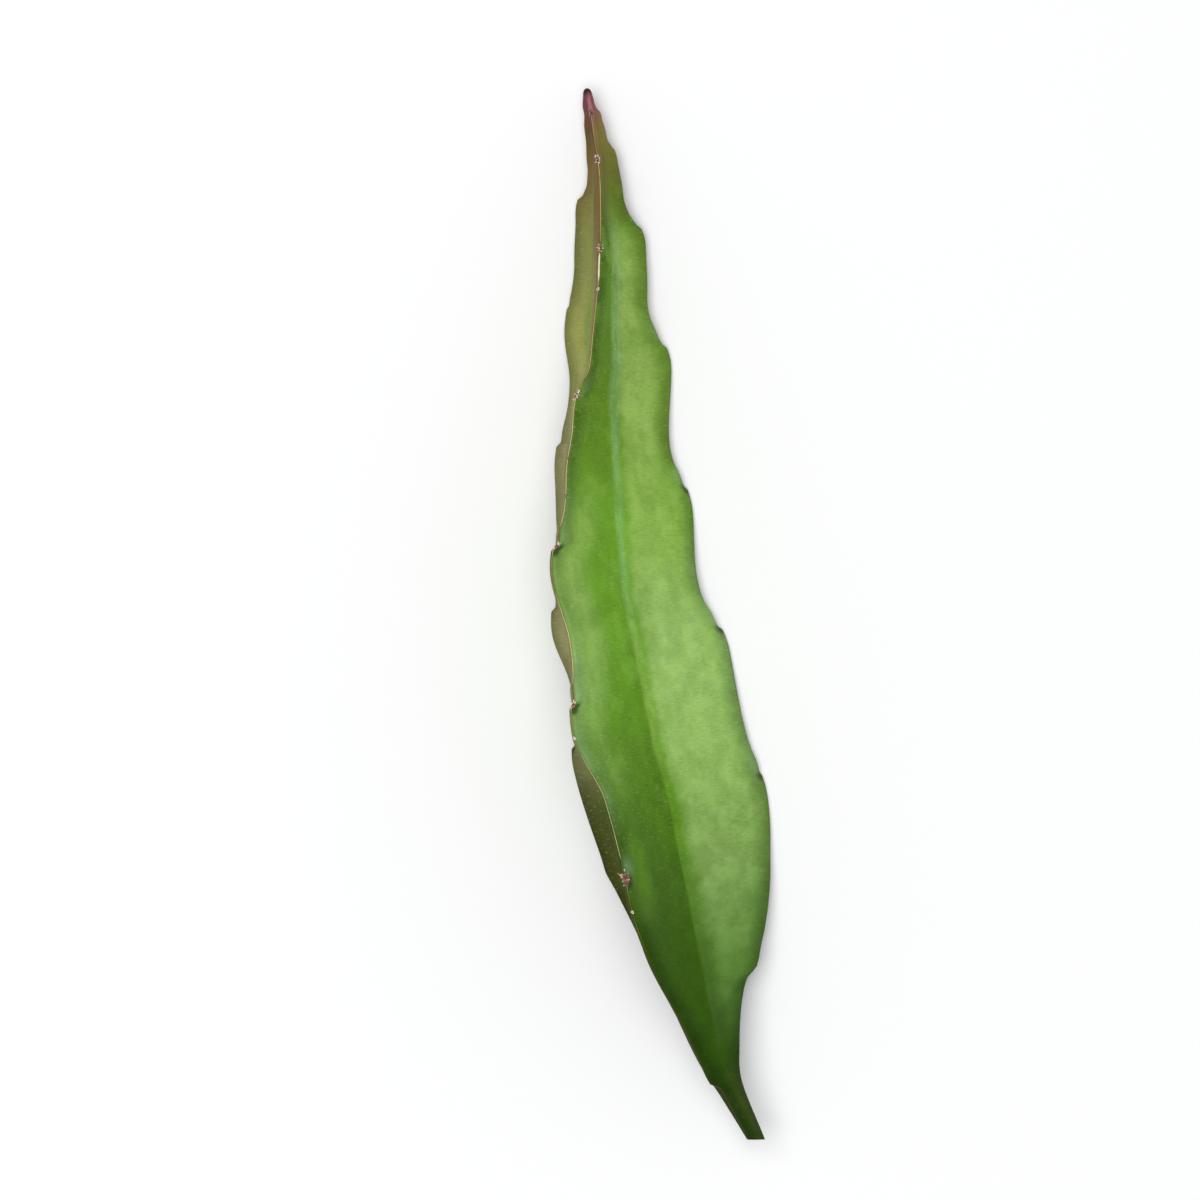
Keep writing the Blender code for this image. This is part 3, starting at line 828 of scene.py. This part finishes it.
def skin_material(colours):
    """Waxy skin: greens that age towards the cut, pale wax, sunned olive faces and a red tip."""
    paint = Paint("stem_skin", colours)
    station, _, rim = paint.attribute("skin_place").parts()
    tan_and_shade, valley, broad = paint.attribute("skin_zone").parts()
    swelling, hollow, vein = paint.attribute("skin_marks").parts()
    age = station + (paint.noise(38, 3) - 0.5) * 20
    patches = paint.noise(150, 4, 0.62).step(0.3, 0.7)

    # The flesh is dark at the cut, brightest past the middle, and duller again towards the tip. Painted light
    # and shade: it is lighter on the right wing's side of the valley and, in the lower half, darker just
    # beside the valley on the upper wing's side. A lighter patch lies near station 80 towards the upper wing's
    # crest, and a darker band near station 100 on the upper wing's half.
    look = age + valley.step(-0.6, 0.6) * broad * 20
    valley_shade = valley.window(-5.5, -2.4, -0.9, 0.2) * station.window(48, 75, 122, 180) * broad * 0.27
    bright = station.window(62, 77, 83, 95) * valley.step(-1, -5) * rim.step(15, 9) * broad * 0.32
    band = station.window(85, 97, 106, 122) * valley.step(4.5, 1.5) * broad * 0.18
    flesh = paint.coats(
        "old_green", (age.step(4, 52), "mature_green"), (look.step(50, 150), "fresh_green"),
        (age.step(178, 214), "young_green"), (valley_shade, "mature_green"), (bright, "fresh_green"),
        (band, "mature_green"),
    )

    # Pale wax with a painted sheen lies on the right wing's half of the broad face, reaching over the valley
    # towards the tip, and more thinly along the upper wing's crest. A painted bluish sheen runs beside the
    # valley
    valley = valley + (paint.noise(55, 1) - 0.5) * 2.4 * broad
    ragged = (paint.noise(190, 3) - 0.5) * 5
    upper = station.step(198, 218)
    lean = valley + upper * 3 + ragged
    right_half = (
        lean.step(1.3, station.step(128, 66, 5.8, 9.5)) * age.step(-4, 150) * age.step(140, 182, 0.5, 0.31)
        * age.step(188, 206, 1, 1.26) * rim.step(0, 10, 0.55, 1)
        * rim.step(2.5, 9.5, station.step(164, 182, 1, 0.6), 1) * station.step(250, 274, 1, 0)
    )
    upper_half = valley.step(-1, -4) * rim.step(21, 8) * age.window(92, 140, 166, 200) * 0.32
    wax = right_half.math("MAXIMUM", upper_half) * broad * patches.step(0, 1, 0.9, 1.1)
    wax_sheen_tone = paint.coats("wax_low", (age.step(36, 84), "wax"), (age.step(145, 185), "wax_warm"))
    aside = valley + (upper * 1.5 + station.step(150, 115, -0.3, -1)) + valley.step(0, 1.5) * ragged * 0.45
    valley_sheen = (
        aside.math("ABSOLUTE").step(upper.step(0, 1, 2.6, 3.7), upper.step(0, 1, 0.4, 1))
        * station.window(98, 128, 252, 270) * paint.grain(0.16, 0.8).step(0.3, 0.65, 0.12, 0.29)
        * station.step(222, 244, 1, 1.5) * broad
    )
    valley_sheen_tone = paint.coats(
        "wax_warm", (station.step(135, 170), "wax_streak"), (station.step(222, 240, 0, 0.6), "wax")
    )
    flesh = paint.coats(
        flesh, (valley.step(-2.5, 1) * station.step(28, 8) * broad * 0.75, "stalk_olive"),
        (valley.step(-0.4, 0.9) * station.window(20, 40, 70, 96) * broad * 0.05, "wax_bloom"),
    )
    # Wax bloom with a painted bluish sheen lies here and there along the crests
    crest = rim.step(6, 0.8) * paint.noise(62).step(0.35, 0.65) * 0.3 * station.window(82, 110, 170, 215)
    green = paint.coats(flesh, (wax, wax_sheen_tone), (valley_sheen, valley_sheen_tone), (crest, "wax_bloom"))

    # The other faces are olive near their crests, from sun tan and painted shade, and greener in their
    # valley
    tan = valley.step(0, 2.5) * rim.step(11, 3) * age.window(210, 232, 262, 290) * 0.7
    olive = paint.coats(
        "olive_dark", (age.step(92, 130), "olive_grey"), (age.step(202, 222), "olive_light"),
        (tan, "olive_tan"),
    )
    olive = paint.shade(olive, station.step(228, 260, 1, 0.76))
    skin = paint.blend(tan_and_shade, green, paint.blend(rim.step(8, 15, 0, 0.6), olive, flesh))

    # Painted shade: all faces are a little darker towards their crests, where they turn from the light
    higher = station.step(192, 212)
    crest_shade_ease = broad * higher * station.step(250, 264, 0.45, 0.1) + tan_and_shade * higher.step(0, 1, 0.5, 1)
    ridge = valley.step(0, -2) * station.window(84, 104, 150, 176) * broad * 0.7
    crest_shade_ease = crest_shade_ease * valley.step(0, 2) + ridge
    skin = paint.shade(skin, rim.step(0, 8, crest_shade_ease.step(0, 1, 0.52, 0.86), 1))

    # Cloudy patches, fine lines and short strokes across the stem, and pale dots
    fine = paint.grain(3.2, 0.3)
    strokes = paint.grain(0.05, 0.24).step(0.3, 0.7, 0.965, 1.03)
    skin = paint.shade(skin, patches.step(0, 1, 0.93, 1.06) * fine.step(0.25, 0.75, 0.92, 1.06) * strokes)
    grown = station.step(45, 110, 0.15, 1)
    lively = broad * grown * station.step(80, 135, 0.3, 1)
    clouds = paint.noise(85, 4, 0.6)
    skin = paint.coats(
        skin, (clouds.step(0.5, 0.66, 0, 0.26) * lively, "cloud_green"),
        (clouds.step(0.5, 0.36, 0, 0.26) * lively, paint.shade("fresh_green", 0.8)),
    )
    dashes = paint.grain(3, 0.45, 1)
    skin = paint.shade(skin, (dashes.step(0.42, 0.28) * broad).step(0, 1, 1, 0.86))
    cells = {"Vector": paint.attribute("skin_place"), "Scale": 0.26}
    cells = paint.node("ShaderNodeTexVoronoi", cells, "Distance", voronoi_dimensions="2D")
    kept = cells.other("Color").parts()[0].step(0.62, 0.64)
    dots = cells.step(0.045, 0.025) * kept * grown * 0.24
    skin = paint.coats(skin, (dashes.step(0.6, 0.76, 0, 0.22) * grown, "wax"), (dots, "margin_cream"))

    # Areoles have a swelling above with a painted highlight, a hollow below with painted shade, and a vein
    swelling_highlight = station.step(110, 90, 0.15, 0.3) * station.step(50, 70)
    skin = paint.shade(paint.blend(swelling * broad * swelling_highlight, skin, "wax_bloom"), vein.step(0, 1, 1, 0.93))
    skin = paint.blend(hollow.step(0.12, 0.85, 0, 0.85), skin, "notch_green")

    # The edge weathers brown, and the tip is brown, then red, with a pink crest and a painted highlight on it,
    # and a dried point
    lowest = (valley.step(-1, 1) * broad).step(0, 1, 128, 4)
    weathered = station.step(lowest, lowest + 30)
    edge = rim.step(0.45, 0.1) * paint.noise(300).step(0.35, 0.6) * weathered * 0.7
    tip_age = station + tan_and_shade * valley.step(-0.5, 0.8, 3, 16) + valley.step(1, -1.5) * broad * 5
    upper_side = (valley * (tan_and_shade - broad)).step(-0.1, 0.5)
    pink_crest_highlight = rim.step(0.8, 0.2) * upper_side * station.window(291.5, 293.5, 296.5, 298) * 0.6
    skin = paint.coats(
        skin, (edge, "margin_brown"), (tip_age.step(255, 292), paint.blend(tan_and_shade, "tip_brown", "tip_rust")),
        (station.step(286, 297), "tip_red"), (station.step(297.6, 299.2), "tip_dark"), (pink_crest_highlight, "tip_pink"),
    )
    # Painted light and shade at the tip: lighter on the broad face, darker on the tanned and shaded faces
    above_red = station.step(276, 288)
    skin = paint.shade(skin, broad * above_red * 0.25 - tan_and_shade * above_red * 0.3 + 1)
    return paint.finish(
        Base_Color=skin, Roughness=paint.noise(70).step(0.3, 0.7, 0.42, 0.55), IOR=1.3, Specular_IOR_Level=0.1,
        Normal=paint.bump(paint.noise(2600), 0.00003, 0.5, paint.bump(fine, 0.0001, 0.5)),
        Subsurface_Weight=0.04, Subsurface_Radius=(0.6, 1.0, 0.3), Subsurface_Scale=0.001,
    )


def flesh_material(colours):
    """Dried flesh of the cut: straw to pale green, darker towards the rim."""
    paint = Paint("cut_flesh", colours)
    speckle = paint.noise(1500, 4)
    colour = paint.coats(
        "cut_flesh", (paint.attribute("cut_share", "Fac").step(0.7, 0.98), "mature_green"),
        (speckle.step(0.45, 0.75, 0, 0.6), "margin_brown"),
    )
    return paint.finish(Base_Color=colour, Roughness=0.75, Normal=paint.bump(speckle, 0.0001, 0.6))


def flecked_material(colours, name, scale, base, *coats, grain=0.5, rough=0.85, relief=(0.0001, 0.5)):
    """A colour with others over it where a fine noise is high, each given as two limits and a colour."""
    paint = Paint(name, colours)
    fleck = paint.noise(scale, 3, grain)
    colour = paint.coats(base, *((fleck.step(low, high), coat) for low, high, coat in coats))
    return paint.finish(Base_Color=colour, Roughness=rough, Normal=paint.bump(fleck, *relief))


class CUTTING_OT_stem(bpy.types.Operator):
    """Build the stem's skin with its dried cut end"""

    bl_idname = "cutting.stem"
    bl_label = "Stem"

    def execute(self, context):
        form, colours = context.scene.cutting_form, context.scene.cutting_colours
        skin, layers = stem_surface(form)
        cut, share, cut_middle = cut_rings(skin[0], form)
        tip = centre_line(np.array([LENGTH]))
        points = np.concatenate([cut.reshape(-1, 3), skin.reshape(-1, 3), cut_middle[None], tip])
        on_skin = np.ones(STATIONS * RING)
        attributes = {"cut_share": np.concatenate([np.repeat(share, RING), on_skin, [0.0, 1.0]])}
        for label, values in layers.items():
            on_cut = np.tile(values[0], (CUT_RINGS, 1))
            attributes[label] = np.concatenate([on_cut, values.reshape(-1, 3), values[0, :1], values[-1, :1]])
        materials = [skin_material(colours), flesh_material(colours)]
        rows = CUT_RINGS + STATIONS
        stem = make_tubes("stem", points[None], rows, RING, materials, attributes, second_rows=CUT_RINGS)
        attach(stem, "root")
        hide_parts("winged_stem")
        return {"FINISHED"}


# Small domes and bristles
def dome_points(seats, size, broad, high):
    """Lumpy domes on seats (place, along, across, outward), as an array (dome, point, 3).

    From just under the seat to near the top, the level radius is size times the cosine of the tilt and the
    height is high times its sine. Waves round the dome swell it, and are different on each.
    """
    place, along, across, outward = [part[:, None, None] for part in seats]
    tilt = np.linspace(*DOME_TILT, DOME_ROWS)
    angle = np.linspace(0.0, TURN, DOME_SIDES, endpoint=False)
    number = np.arange(len(size))[:, None, None]
    lump = 1.0 + DOME_LUMP * np.sin(3.0 * angle + number * 1.7) * np.cos(2.0 * tilt[:, None] + number)
    level = np.cos(tilt)[:, None] * lump * size[:, None, None]
    rise = high * np.sin(tilt)[:, None] * lump * size[:, None, None] - DOME_SINK
    rings = place + (level * np.cos(angle))[..., None] * along
    rings = rings + (broad * level * np.sin(angle))[..., None] * across + rise[..., None] * outward
    place, outward = seats[0], seats[3]
    low = place - outward * (DOME_SINK + 0.5 * high * size)[:, None]
    top = place + outward * (high * size - DOME_SINK)[:, None]
    return np.concatenate([rings.reshape(len(size), -1, 3), low[:, None], top[:, None]], axis=1)


def bristle_points(root, direction, bend, length, radius, rows, sides, first=None, flat=1.0):
    """Curved cones as arrays (bristle, point, 3).

    The axis is root + direction * length * t + bend * length * t^2, and the radius falls as (1 - t)^0.7.
    Rings of points run round it, with one axis of each made flat times as long, then come the two poles.
    """
    t = np.linspace(0.0, 1.0, rows + 1)[:-1]
    if first is None:
        helper = np.where(np.abs(direction[:, 2:]) < 0.9, [[0.0, 0.0, 1.0]], [[1.0, 0.0, 0.0]])
        first = np.cross(direction, helper)
    first = unit(first)
    second = flat * np.cross(direction, first)
    axis = root[:, None] + (length[:, None] * t)[..., None] * direction[:, None]
    axis = axis + (length[:, None] * t**2)[..., None] * bend[:, None]
    thick = radius[:, None] * (1.0 - t) ** 0.7
    angle = np.linspace(0.0, TURN, sides, endpoint=False)
    around = np.cos(angle)[:, None] * first[:, None] + np.sin(angle)[:, None] * second[:, None]
    rings = axis[:, :, None] + thick[..., None, None] * around[:, None]
    end = root + length[:, None] * (direction + bend)
    return np.concatenate([rings.reshape(len(root), -1, 3), root[:, None], end[:, None]], axis=1)


# Cut end
class CUTTING_OT_bundles(bpy.types.Operator):
    """Build the ring of dried fibre bundles in the cut end"""

    bl_idname = "cutting.bundles"
    bl_label = "Fibre Bundles"

    def execute(self, context):
        form, colours = context.scene.cutting_form, context.scene.cutting_colours
        skin, _ = stem_surface(form)
        cut, share, _ = cut_rings(skin[0], form)
        ring = cut[np.argmin(np.abs(share - BUNDLE_SHARE))]
        walk = np.concatenate([[0.0], np.cumsum(np.linalg.norm(np.diff(ring, axis=0), axis=1))])
        at = (np.arange(form.bundle_count) + 0.5) * walk[-1] / form.bundle_count
        place = np.stack([np.interp(at, walk, ring[:, i]) for i in range(3)], axis=-1)
        outward = np.tile(-CUT_INWARD, (len(at), 1))
        along = unit(place - ring.mean(axis=0))
        rng = np.random.default_rng(BUNDLE_SEED)
        radius = BUNDLE_RADIUS * rng.uniform(0.75, 1.25, len(at))
        points = dome_points((place, along, np.cross(outward, along), outward), radius, 0.7, 0.6)
        material = flecked_material(
            colours, "fibre_bundle", 3000, "bundle", (0.4, 0.7, "husk"), rough=0.8, relief=(0.0001, 0.6)
        )
        bundles = make_tubes("cut_bundles", points, DOME_ROWS, DOME_SIDES, [material])
        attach(bundles, "root")
        return {"FINISHED"}


# Margins
def margin_surface(index, width, height):
    """One wing's horny margin as a low tube along its crest: rings, then two poles, with three attributes.

    Its section is an ellipse, as wide as the margin and twice as high, half sunk. Both shrink to nothing at
    the two ends and swell and thin with waves. It is larger just above an areole and on a strip below the
    areole at 253, thinner towards the tip, and worn away below the areoles of the lower half.
    """
    at = close_stations(MARGIN_START, MARGIN_END, MARGIN_ROWS)
    place, _, across, outward = crest_frame(index, at)
    areoles = areole_stations(WINGS[index])
    over = at[:, None] - areoles
    strip = (window(-over, *STRIP) * window(areoles, *STRIP_AT)).max(axis=1)
    above = (smooth_step(*SWOLLEN_AT, areoles) * bell(over, *SWOLLEN)).max(axis=1)
    above = np.maximum(above, 0.9 * strip)
    slender = window(at, *SLENDER_AT) * (1.0 - above)
    worn = (smooth_step(*WORN_AT, areoles) * bell(over, *WORN)).max(axis=1)
    worn = np.maximum(worn, 0.38 * smooth_step(*WORN_LOW, at) * (1.0 - above))
    size = smooth_step(*WINGS[index]["fade"], at) * smooth_step(0.0, 8.0, MARGIN_END - at) + 0.02
    wave = waves(at, 0.0, MARGIN_SEED + index, *MARGIN_WAVES)
    width = 0.5 * width * size * (1.0 + 0.3 * wave + 2.6 * above - 1.3 * strip)
    width = width * (1.0 - 0.5 * worn - 0.5 * slender)
    height = height * size * (1.0 + 0.35 * np.roll(wave, 40) + 0.8 * above)
    sway = 0.1 * size * waves(at, 0.0, SWAY_SEED + index, *MARGIN_SWAY)
    angle = np.linspace(0.0, TURN, MARGIN_SIDES, endpoint=False)
    sideways = np.cos(angle) * width[:, None] + sway[:, None]
    upward = np.sin(angle) * (height + MARGIN_SINK)[:, None] - MARGIN_SINK
    rings = place[:, None] + sideways[..., None] * across[:, None] + upward[..., None] * outward[:, None]
    points = above_floor(np.concatenate([rings.reshape(-1, 3), place[:1], place[-1:]]))
    return points, {
        label: np.concatenate([np.repeat(values, MARGIN_SIDES), values[:1], values[-1:]])
        for label, values in (("along", at / LENGTH), ("above", above), ("worn", worn))
    }


def margin_material(colours, name, straw_share):
    """Horny margin: straw broken by brown, cream above the areoles, browner towards the tip."""
    paint = Paint(name, colours)
    along, above, worn = [paint.attribute(label, "Fac") for label in ("along", "above", "worn")]
    broken = paint.noise(260, 4, 0.65)
    darker = along.step(0.88, 0.90, 0, 0.04) + (0.5 - straw_share)
    colour = paint.coats(
        "margin_straw", ((broken + darker).step(0.42, 0.58), "margin_brown"),
        (above * paint.noise(600).step(0.3, 0.5) * straw_share * 1.6, "margin_cream"),
        (worn.step(0.15, 0.7, 0, 0.85), "young_green"), (along.step(0.922, 0.94, 0, 0.85), "tip_brown"),
        (along.step(0.945, 0.96, 0, 0.5), "tip_pink"),
    )
    return paint.finish(Base_Color=colour, Roughness=0.6, Normal=paint.bump(broken, 0.0001, 0.6))


class CUTTING_OT_margins(bpy.types.Operator):
    """Build the three thin horny margins along the wings' edges"""

    bl_idname = "cutting.margins"
    bl_label = "Margins"

    def execute(self, context):
        form, colours = context.scene.cutting_form, context.scene.cutting_colours
        pale = margin_material(colours, "pale_margin", 0.66)
        dark = margin_material(colours, "dark_margin", 0.18)
        for index, wing in enumerate(WINGS):
            points, attributes = margin_surface(index, form.margin_width, form.margin_height)
            material = pale if wing is UPPER else dark
            name = "margin_" + wing["name"]
            margin = make_tubes(name, points[None], MARGIN_ROWS, MARGIN_SIDES, [material], attributes)
            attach(margin, "root")
        return {"FINISHED"}


# Areoles
def spread(seats, each, rng, lean, reach):
    """Roots and directions fanned out over every areole, as arrays (areole, each, 3).

    Round the outward direction they go by equal turns with a seeded drift, leaning away by a seeded angle.
    """
    place, along, across, outward = seats
    shape = (len(place), each)
    turn = rng.uniform(0.0, TURN, (len(place), 1)) + np.arange(each) * TURN / each
    turn = turn + rng.uniform(-TURN_DRIFT, TURN_DRIFT, shape)
    tilt = np.radians(rng.uniform(*lean, shape))
    ahead = np.cos(turn)[..., None] * along[:, None]
    aside = np.sin(turn)[..., None] * across[:, None]
    direction = np.cos(tilt)[..., None] * outward[:, None] + np.sin(tilt)[..., None] * (ahead + aside)
    distance = (reach[:, None] * np.sqrt(rng.uniform(0.0, 1.0, shape)))[..., None]
    root = place[:, None] + distance * (ROOT_OVAL[0] * ahead + ROOT_OVAL[1] * aside)
    return root, direction


def keep_level(direction):
    """Directions without their downward part, so that nothing points into the floor."""
    level = direction.copy()
    level[..., 2] = np.maximum(level[..., 2], -0.05)
    return unit(level).reshape(-1, 3)


def spine_points(form, seats, station, bold, rng):
    """The spines' points, and each point's share of the way along its spine, which sets its colour.

    One spine of each areole leans to the tip and to the tanned and shaded side, and is longest on the oldest
    ones. Spines of the middle are paler, and those of the tip darker, as their shares are drawn towards 1 or
    0.
    """
    _, along, across, outward = seats
    count = len(station)
    root, direction = spread(seats, SPINES_EACH, rng, SPINE_LEAN, 0.8 * form.cushion_length * bold)
    direction[:, 0] = unit(0.8 * along + 0.35 * outward - 0.45 * across)
    share = rng.uniform(*SPINE_SHARES, (count, SPINES_EACH))
    share[:, 0] = 0.45 + 0.35 * smooth_step(120, 80, station)
    length = (form.spine_length * bold[:, None] * share).ravel()
    bend = SPINE_BEND * unit(rng.normal(size=(count * SPINES_EACH, 3)))
    radius = form.spine_radius * rng.uniform(0.8, 1.15, count * SPINES_EACH)
    points = bristle_points(
        root.reshape(-1, 3), keep_level(direction), bend, length, radius, SPINE_ROWS, SPINE_SIDES
    )
    along_spine = np.concatenate([np.repeat(np.arange(SPINE_ROWS) / SPINE_ROWS, SPINE_SIDES), [0.0, 1.0]])
    pale = 0.3 * window(station, 95, 115, 282, 286) - 0.5 * smooth_step(284, 290, station)
    pale = np.repeat(pale, SPINES_EACH)[:, None]
    return points, (np.maximum(pale, 0.0) + (1.0 - np.abs(pale)) * along_spine).ravel()


def hair_points(form, seats, bold, rng):
    """The points of the wool: bent hairs that lean to the tip, set towards the tip's side of each cushion."""
    along, each = seats[1], form.wool_count
    size = form.cushion_length * bold
    root, direction = spread(seats, each, rng, HAIR_LEAN, 0.9 * size)
    root = root + (0.6 * size)[:, None, None] * along[:, None]
    direction = direction + 0.7 * along[:, None]
    count = len(bold) * each
    length = np.repeat(bold, each) * form.wool_length * rng.uniform(0.45, 1.0, count)
    bend = HAIR_BEND * unit(rng.normal(size=(count, 3)))
    radius = np.full(count, HAIR_RADIUS)
    return bristle_points(
        root.reshape(-1, 3), keep_level(direction), bend, length, radius, HAIR_ROWS, HAIR_SIDES
    )


def spine_material(colours):
    """Spines: dark root, pinkish middle, pale end and dark point."""
    paint = Paint("spine_horn", colours)
    share = paint.attribute("share", "Fac")
    colour = paint.coats(
        "felt_dark", (share.step(0.1, 0.45), "spine"), (share.step(0.35, 0.7, 0, 0.85), "wool"),
        (share.step(0.88, 1), "husk"),
    )
    return paint.finish(Base_Color=colour, Roughness=0.42)


class CUTTING_OT_areoles(bpy.types.Operator):
    """Build the areoles: felt cushions, spines, wool and dry scales, and the specks between them"""

    bl_idname = "cutting.areoles"
    bl_label = "Areoles"

    def execute(self, context):
        form, colours = context.scene.cutting_form, context.scene.cutting_colours
        each_wing = [crest_frame(i, areole_stations(wing)) for i, wing in enumerate(WINGS)]
        seats = [np.concatenate(column) for column in zip(*each_wing)]
        place, along, across, outward = seats
        station = place[:, 1] - CUT_Y
        bold = np.repeat([wing["boldness"] for wing in WINGS], [len(part[0]) for part in each_wing])
        bold = bold * sum((change * smooth_step(low, high, station) for low, high, change in GROWTH), 1.0)
        size = form.cushion_length * bold
        rng = np.random.default_rng(AREOLE_SEED)
        felt = dome_points(seats, 1.2 * size, 0.58, 0.42)
        spines, share = spine_points(form, seats, station, bold, rng)
        hairs = hair_points(form, seats, bold, rng)

        # A dry scale stands below each areole and points to the tip
        foot = place - along * (1.15 * size)[:, None] - outward * 0.15
        length = form.scale_length * bold
        scales = bristle_points(
            foot, keep_level(0.7 * along + 0.6 * outward), 0.35 * along, length, SCALE_WIDTH * length,
            SCALE_ROWS, SCALE_SIDES, across, SCALE_FLAT,
        )
        specks = [crest_frame(i, np.array(wing["specks"])) for i, wing in enumerate(WINGS) if wing["specks"]]
        specks = [np.concatenate(column) for column in zip(*specks)]
        specks = dome_points(specks, np.full(len(specks[0]), SPECK_SIZE), 0.8, 0.7)

        felted = flecked_material(
            colours, "areole_felt", 2200, "felt_dark", (0.40, 0.62, "felt"), (0.60, 0.70, "wool"),
            grain=0.7, rough=0.95, relief=(0.0003, 0.9),
        )
        dry = flecked_material(colours, "margin_speck", 1600, "husk", (0.32, 0.62, "wool"))
        woolly = flecked_material(colours, "areole_wool", 900, "felt", (0.32, 0.62, "wool"))
        husky = flecked_material(colours, "scale_husk", 1300, "felt_dark", (0.32, 0.62, "husk"))
        for name, points, rows, sides, material, attributes in (
            ("margin_specks", specks, DOME_ROWS, DOME_SIDES, dry, None),
            ("areole_cushions", felt, DOME_ROWS, DOME_SIDES, felted, None),
            ("areole_spines", spines, SPINE_ROWS, SPINE_SIDES, spine_material(colours), {"share": share}),
            ("areole_wool", hairs, HAIR_ROWS, HAIR_SIDES, woolly, None),
            ("areole_scales", scales, SCALE_ROWS, SCALE_SIDES, husky, None),
        ):
            piece = make_tubes(name, above_floor(points), rows, sides, [material], attributes)
            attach(piece, "root")
        return {"FINISHED"}


# Stage
class CUTTING_OT_stage(bpy.types.Operator):
    """Build the pale floor, the soft lights and the camera"""

    bl_idname = "cutting.stage"
    bl_label = "Stage"

    def execute(self, context):
        scene = context.scene
        stage = scene.cutting_stage
        data = renewed(bpy.data.meshes, "floor")
        corners = [(x * FLOOR_HALF, y * FLOOR_HALF, 0.0) for x, y in ((-1, -1), (1, -1), (1, 1), (-1, 1))]
        data.from_pydata(corners, [], [(0, 1, 2, 3)])
        paint = Paint("pale_floor", stage)
        data.materials.append(paint.finish(Base_Color="floor_colour", Roughness=0.9, Specular_IOR_Level=0.1))
        floor = add_object("floor", data)

        # Even light, brighter near the horizon, where it meets the floor
        sky = Paint("studio", stage, "worlds", "Background")
        height = sky.node("ShaderNodeTexCoord", {}, "Generated").parts()[2]
        strength = height.step(HORIZON_HEIGHT, ZENITH_HEIGHT, stage.horizon, stage.zenith, "LINEAR")
        scene.world = sky.finish(Color=SKY_COLOUR, Strength=strength)

        light_data = renewed(bpy.data.lights, "overhead", "AREA")
        light_data.size = LIGHT_SIZE
        light_data.energy = stage.key_power
        light = add_object("overhead", light_data)
        light.location = LIGHT_PLACE
        light.rotation_euler = (-Vector(LIGHT_PLACE)).to_track_quat("-Z", "Y").to_euler()

        camera_data = renewed(bpy.data.cameras, "camera")
        camera_data.sensor_width = SENSOR
        camera_data.lens = SENSOR * stage.camera_height / VIEW_WIDTH
        camera = add_object("camera", camera_data)
        camera.location = (*VIEW_MIDDLE, stage.camera_height)
        camera.rotation_euler = (0.0, 0.0, math.radians(-CUT_LEAN))
        scene.camera = camera
        scene.view_settings.view_transform = "Standard"
        return {"FINISHED"}


SETTINGS = {
    "cutting_form": CUTTING_PG_form, "cutting_colours": CUTTING_PG_colours, "cutting_stage": CUTTING_PG_stage,
}
OPERATORS = (CUTTING_OT_stage, CUTTING_OT_stem, CUTTING_OT_bundles, CUTTING_OT_margins, CUTTING_OT_areoles)


class CUTTING_PT_panel(bpy.types.Panel):
    """Lists the cutting's pieces and their settings"""

    bl_idname = "CUTTING_PT_panel"
    bl_label = "Dragon Fruit Cutting"
    bl_space_type = "VIEW_3D"
    bl_region_type = "UI"
    bl_category = "Cutting"

    def draw(self, context):
        for operator in OPERATORS:
            self.layout.operator(operator.bl_idname)
        for label in SETTINGS:
            box = self.layout.box()
            group = getattr(context.scene, label)
            for name in group.bl_rna.properties.keys():
                if name not in {"rna_type", "name"}:
                    box.prop(group, name)


CLASSES = (*SETTINGS.values(), *OPERATORS, CUTTING_PT_panel)


def register():
    """Register the classes and hang the settings on the scene."""
    for cls in CLASSES:
        bpy.utils.register_class(cls)
    for label, group in SETTINGS.items():
        setattr(bpy.types.Scene, label, PointerProperty(type=group))


def unregister():
    """Take the settings and the classes away again."""
    for label in SETTINGS:
        delattr(bpy.types.Scene, label)
    for cls in reversed(CLASSES):
        bpy.utils.unregister_class(cls)


def main():
    """Build every piece in order."""
    register()
    bpy.ops.cutting.stage()
    bpy.ops.cutting.stem()
    bpy.ops.cutting.bundles()
    bpy.ops.cutting.margins()
    bpy.ops.cutting.areoles()


if __name__ == "__main__":
    main()
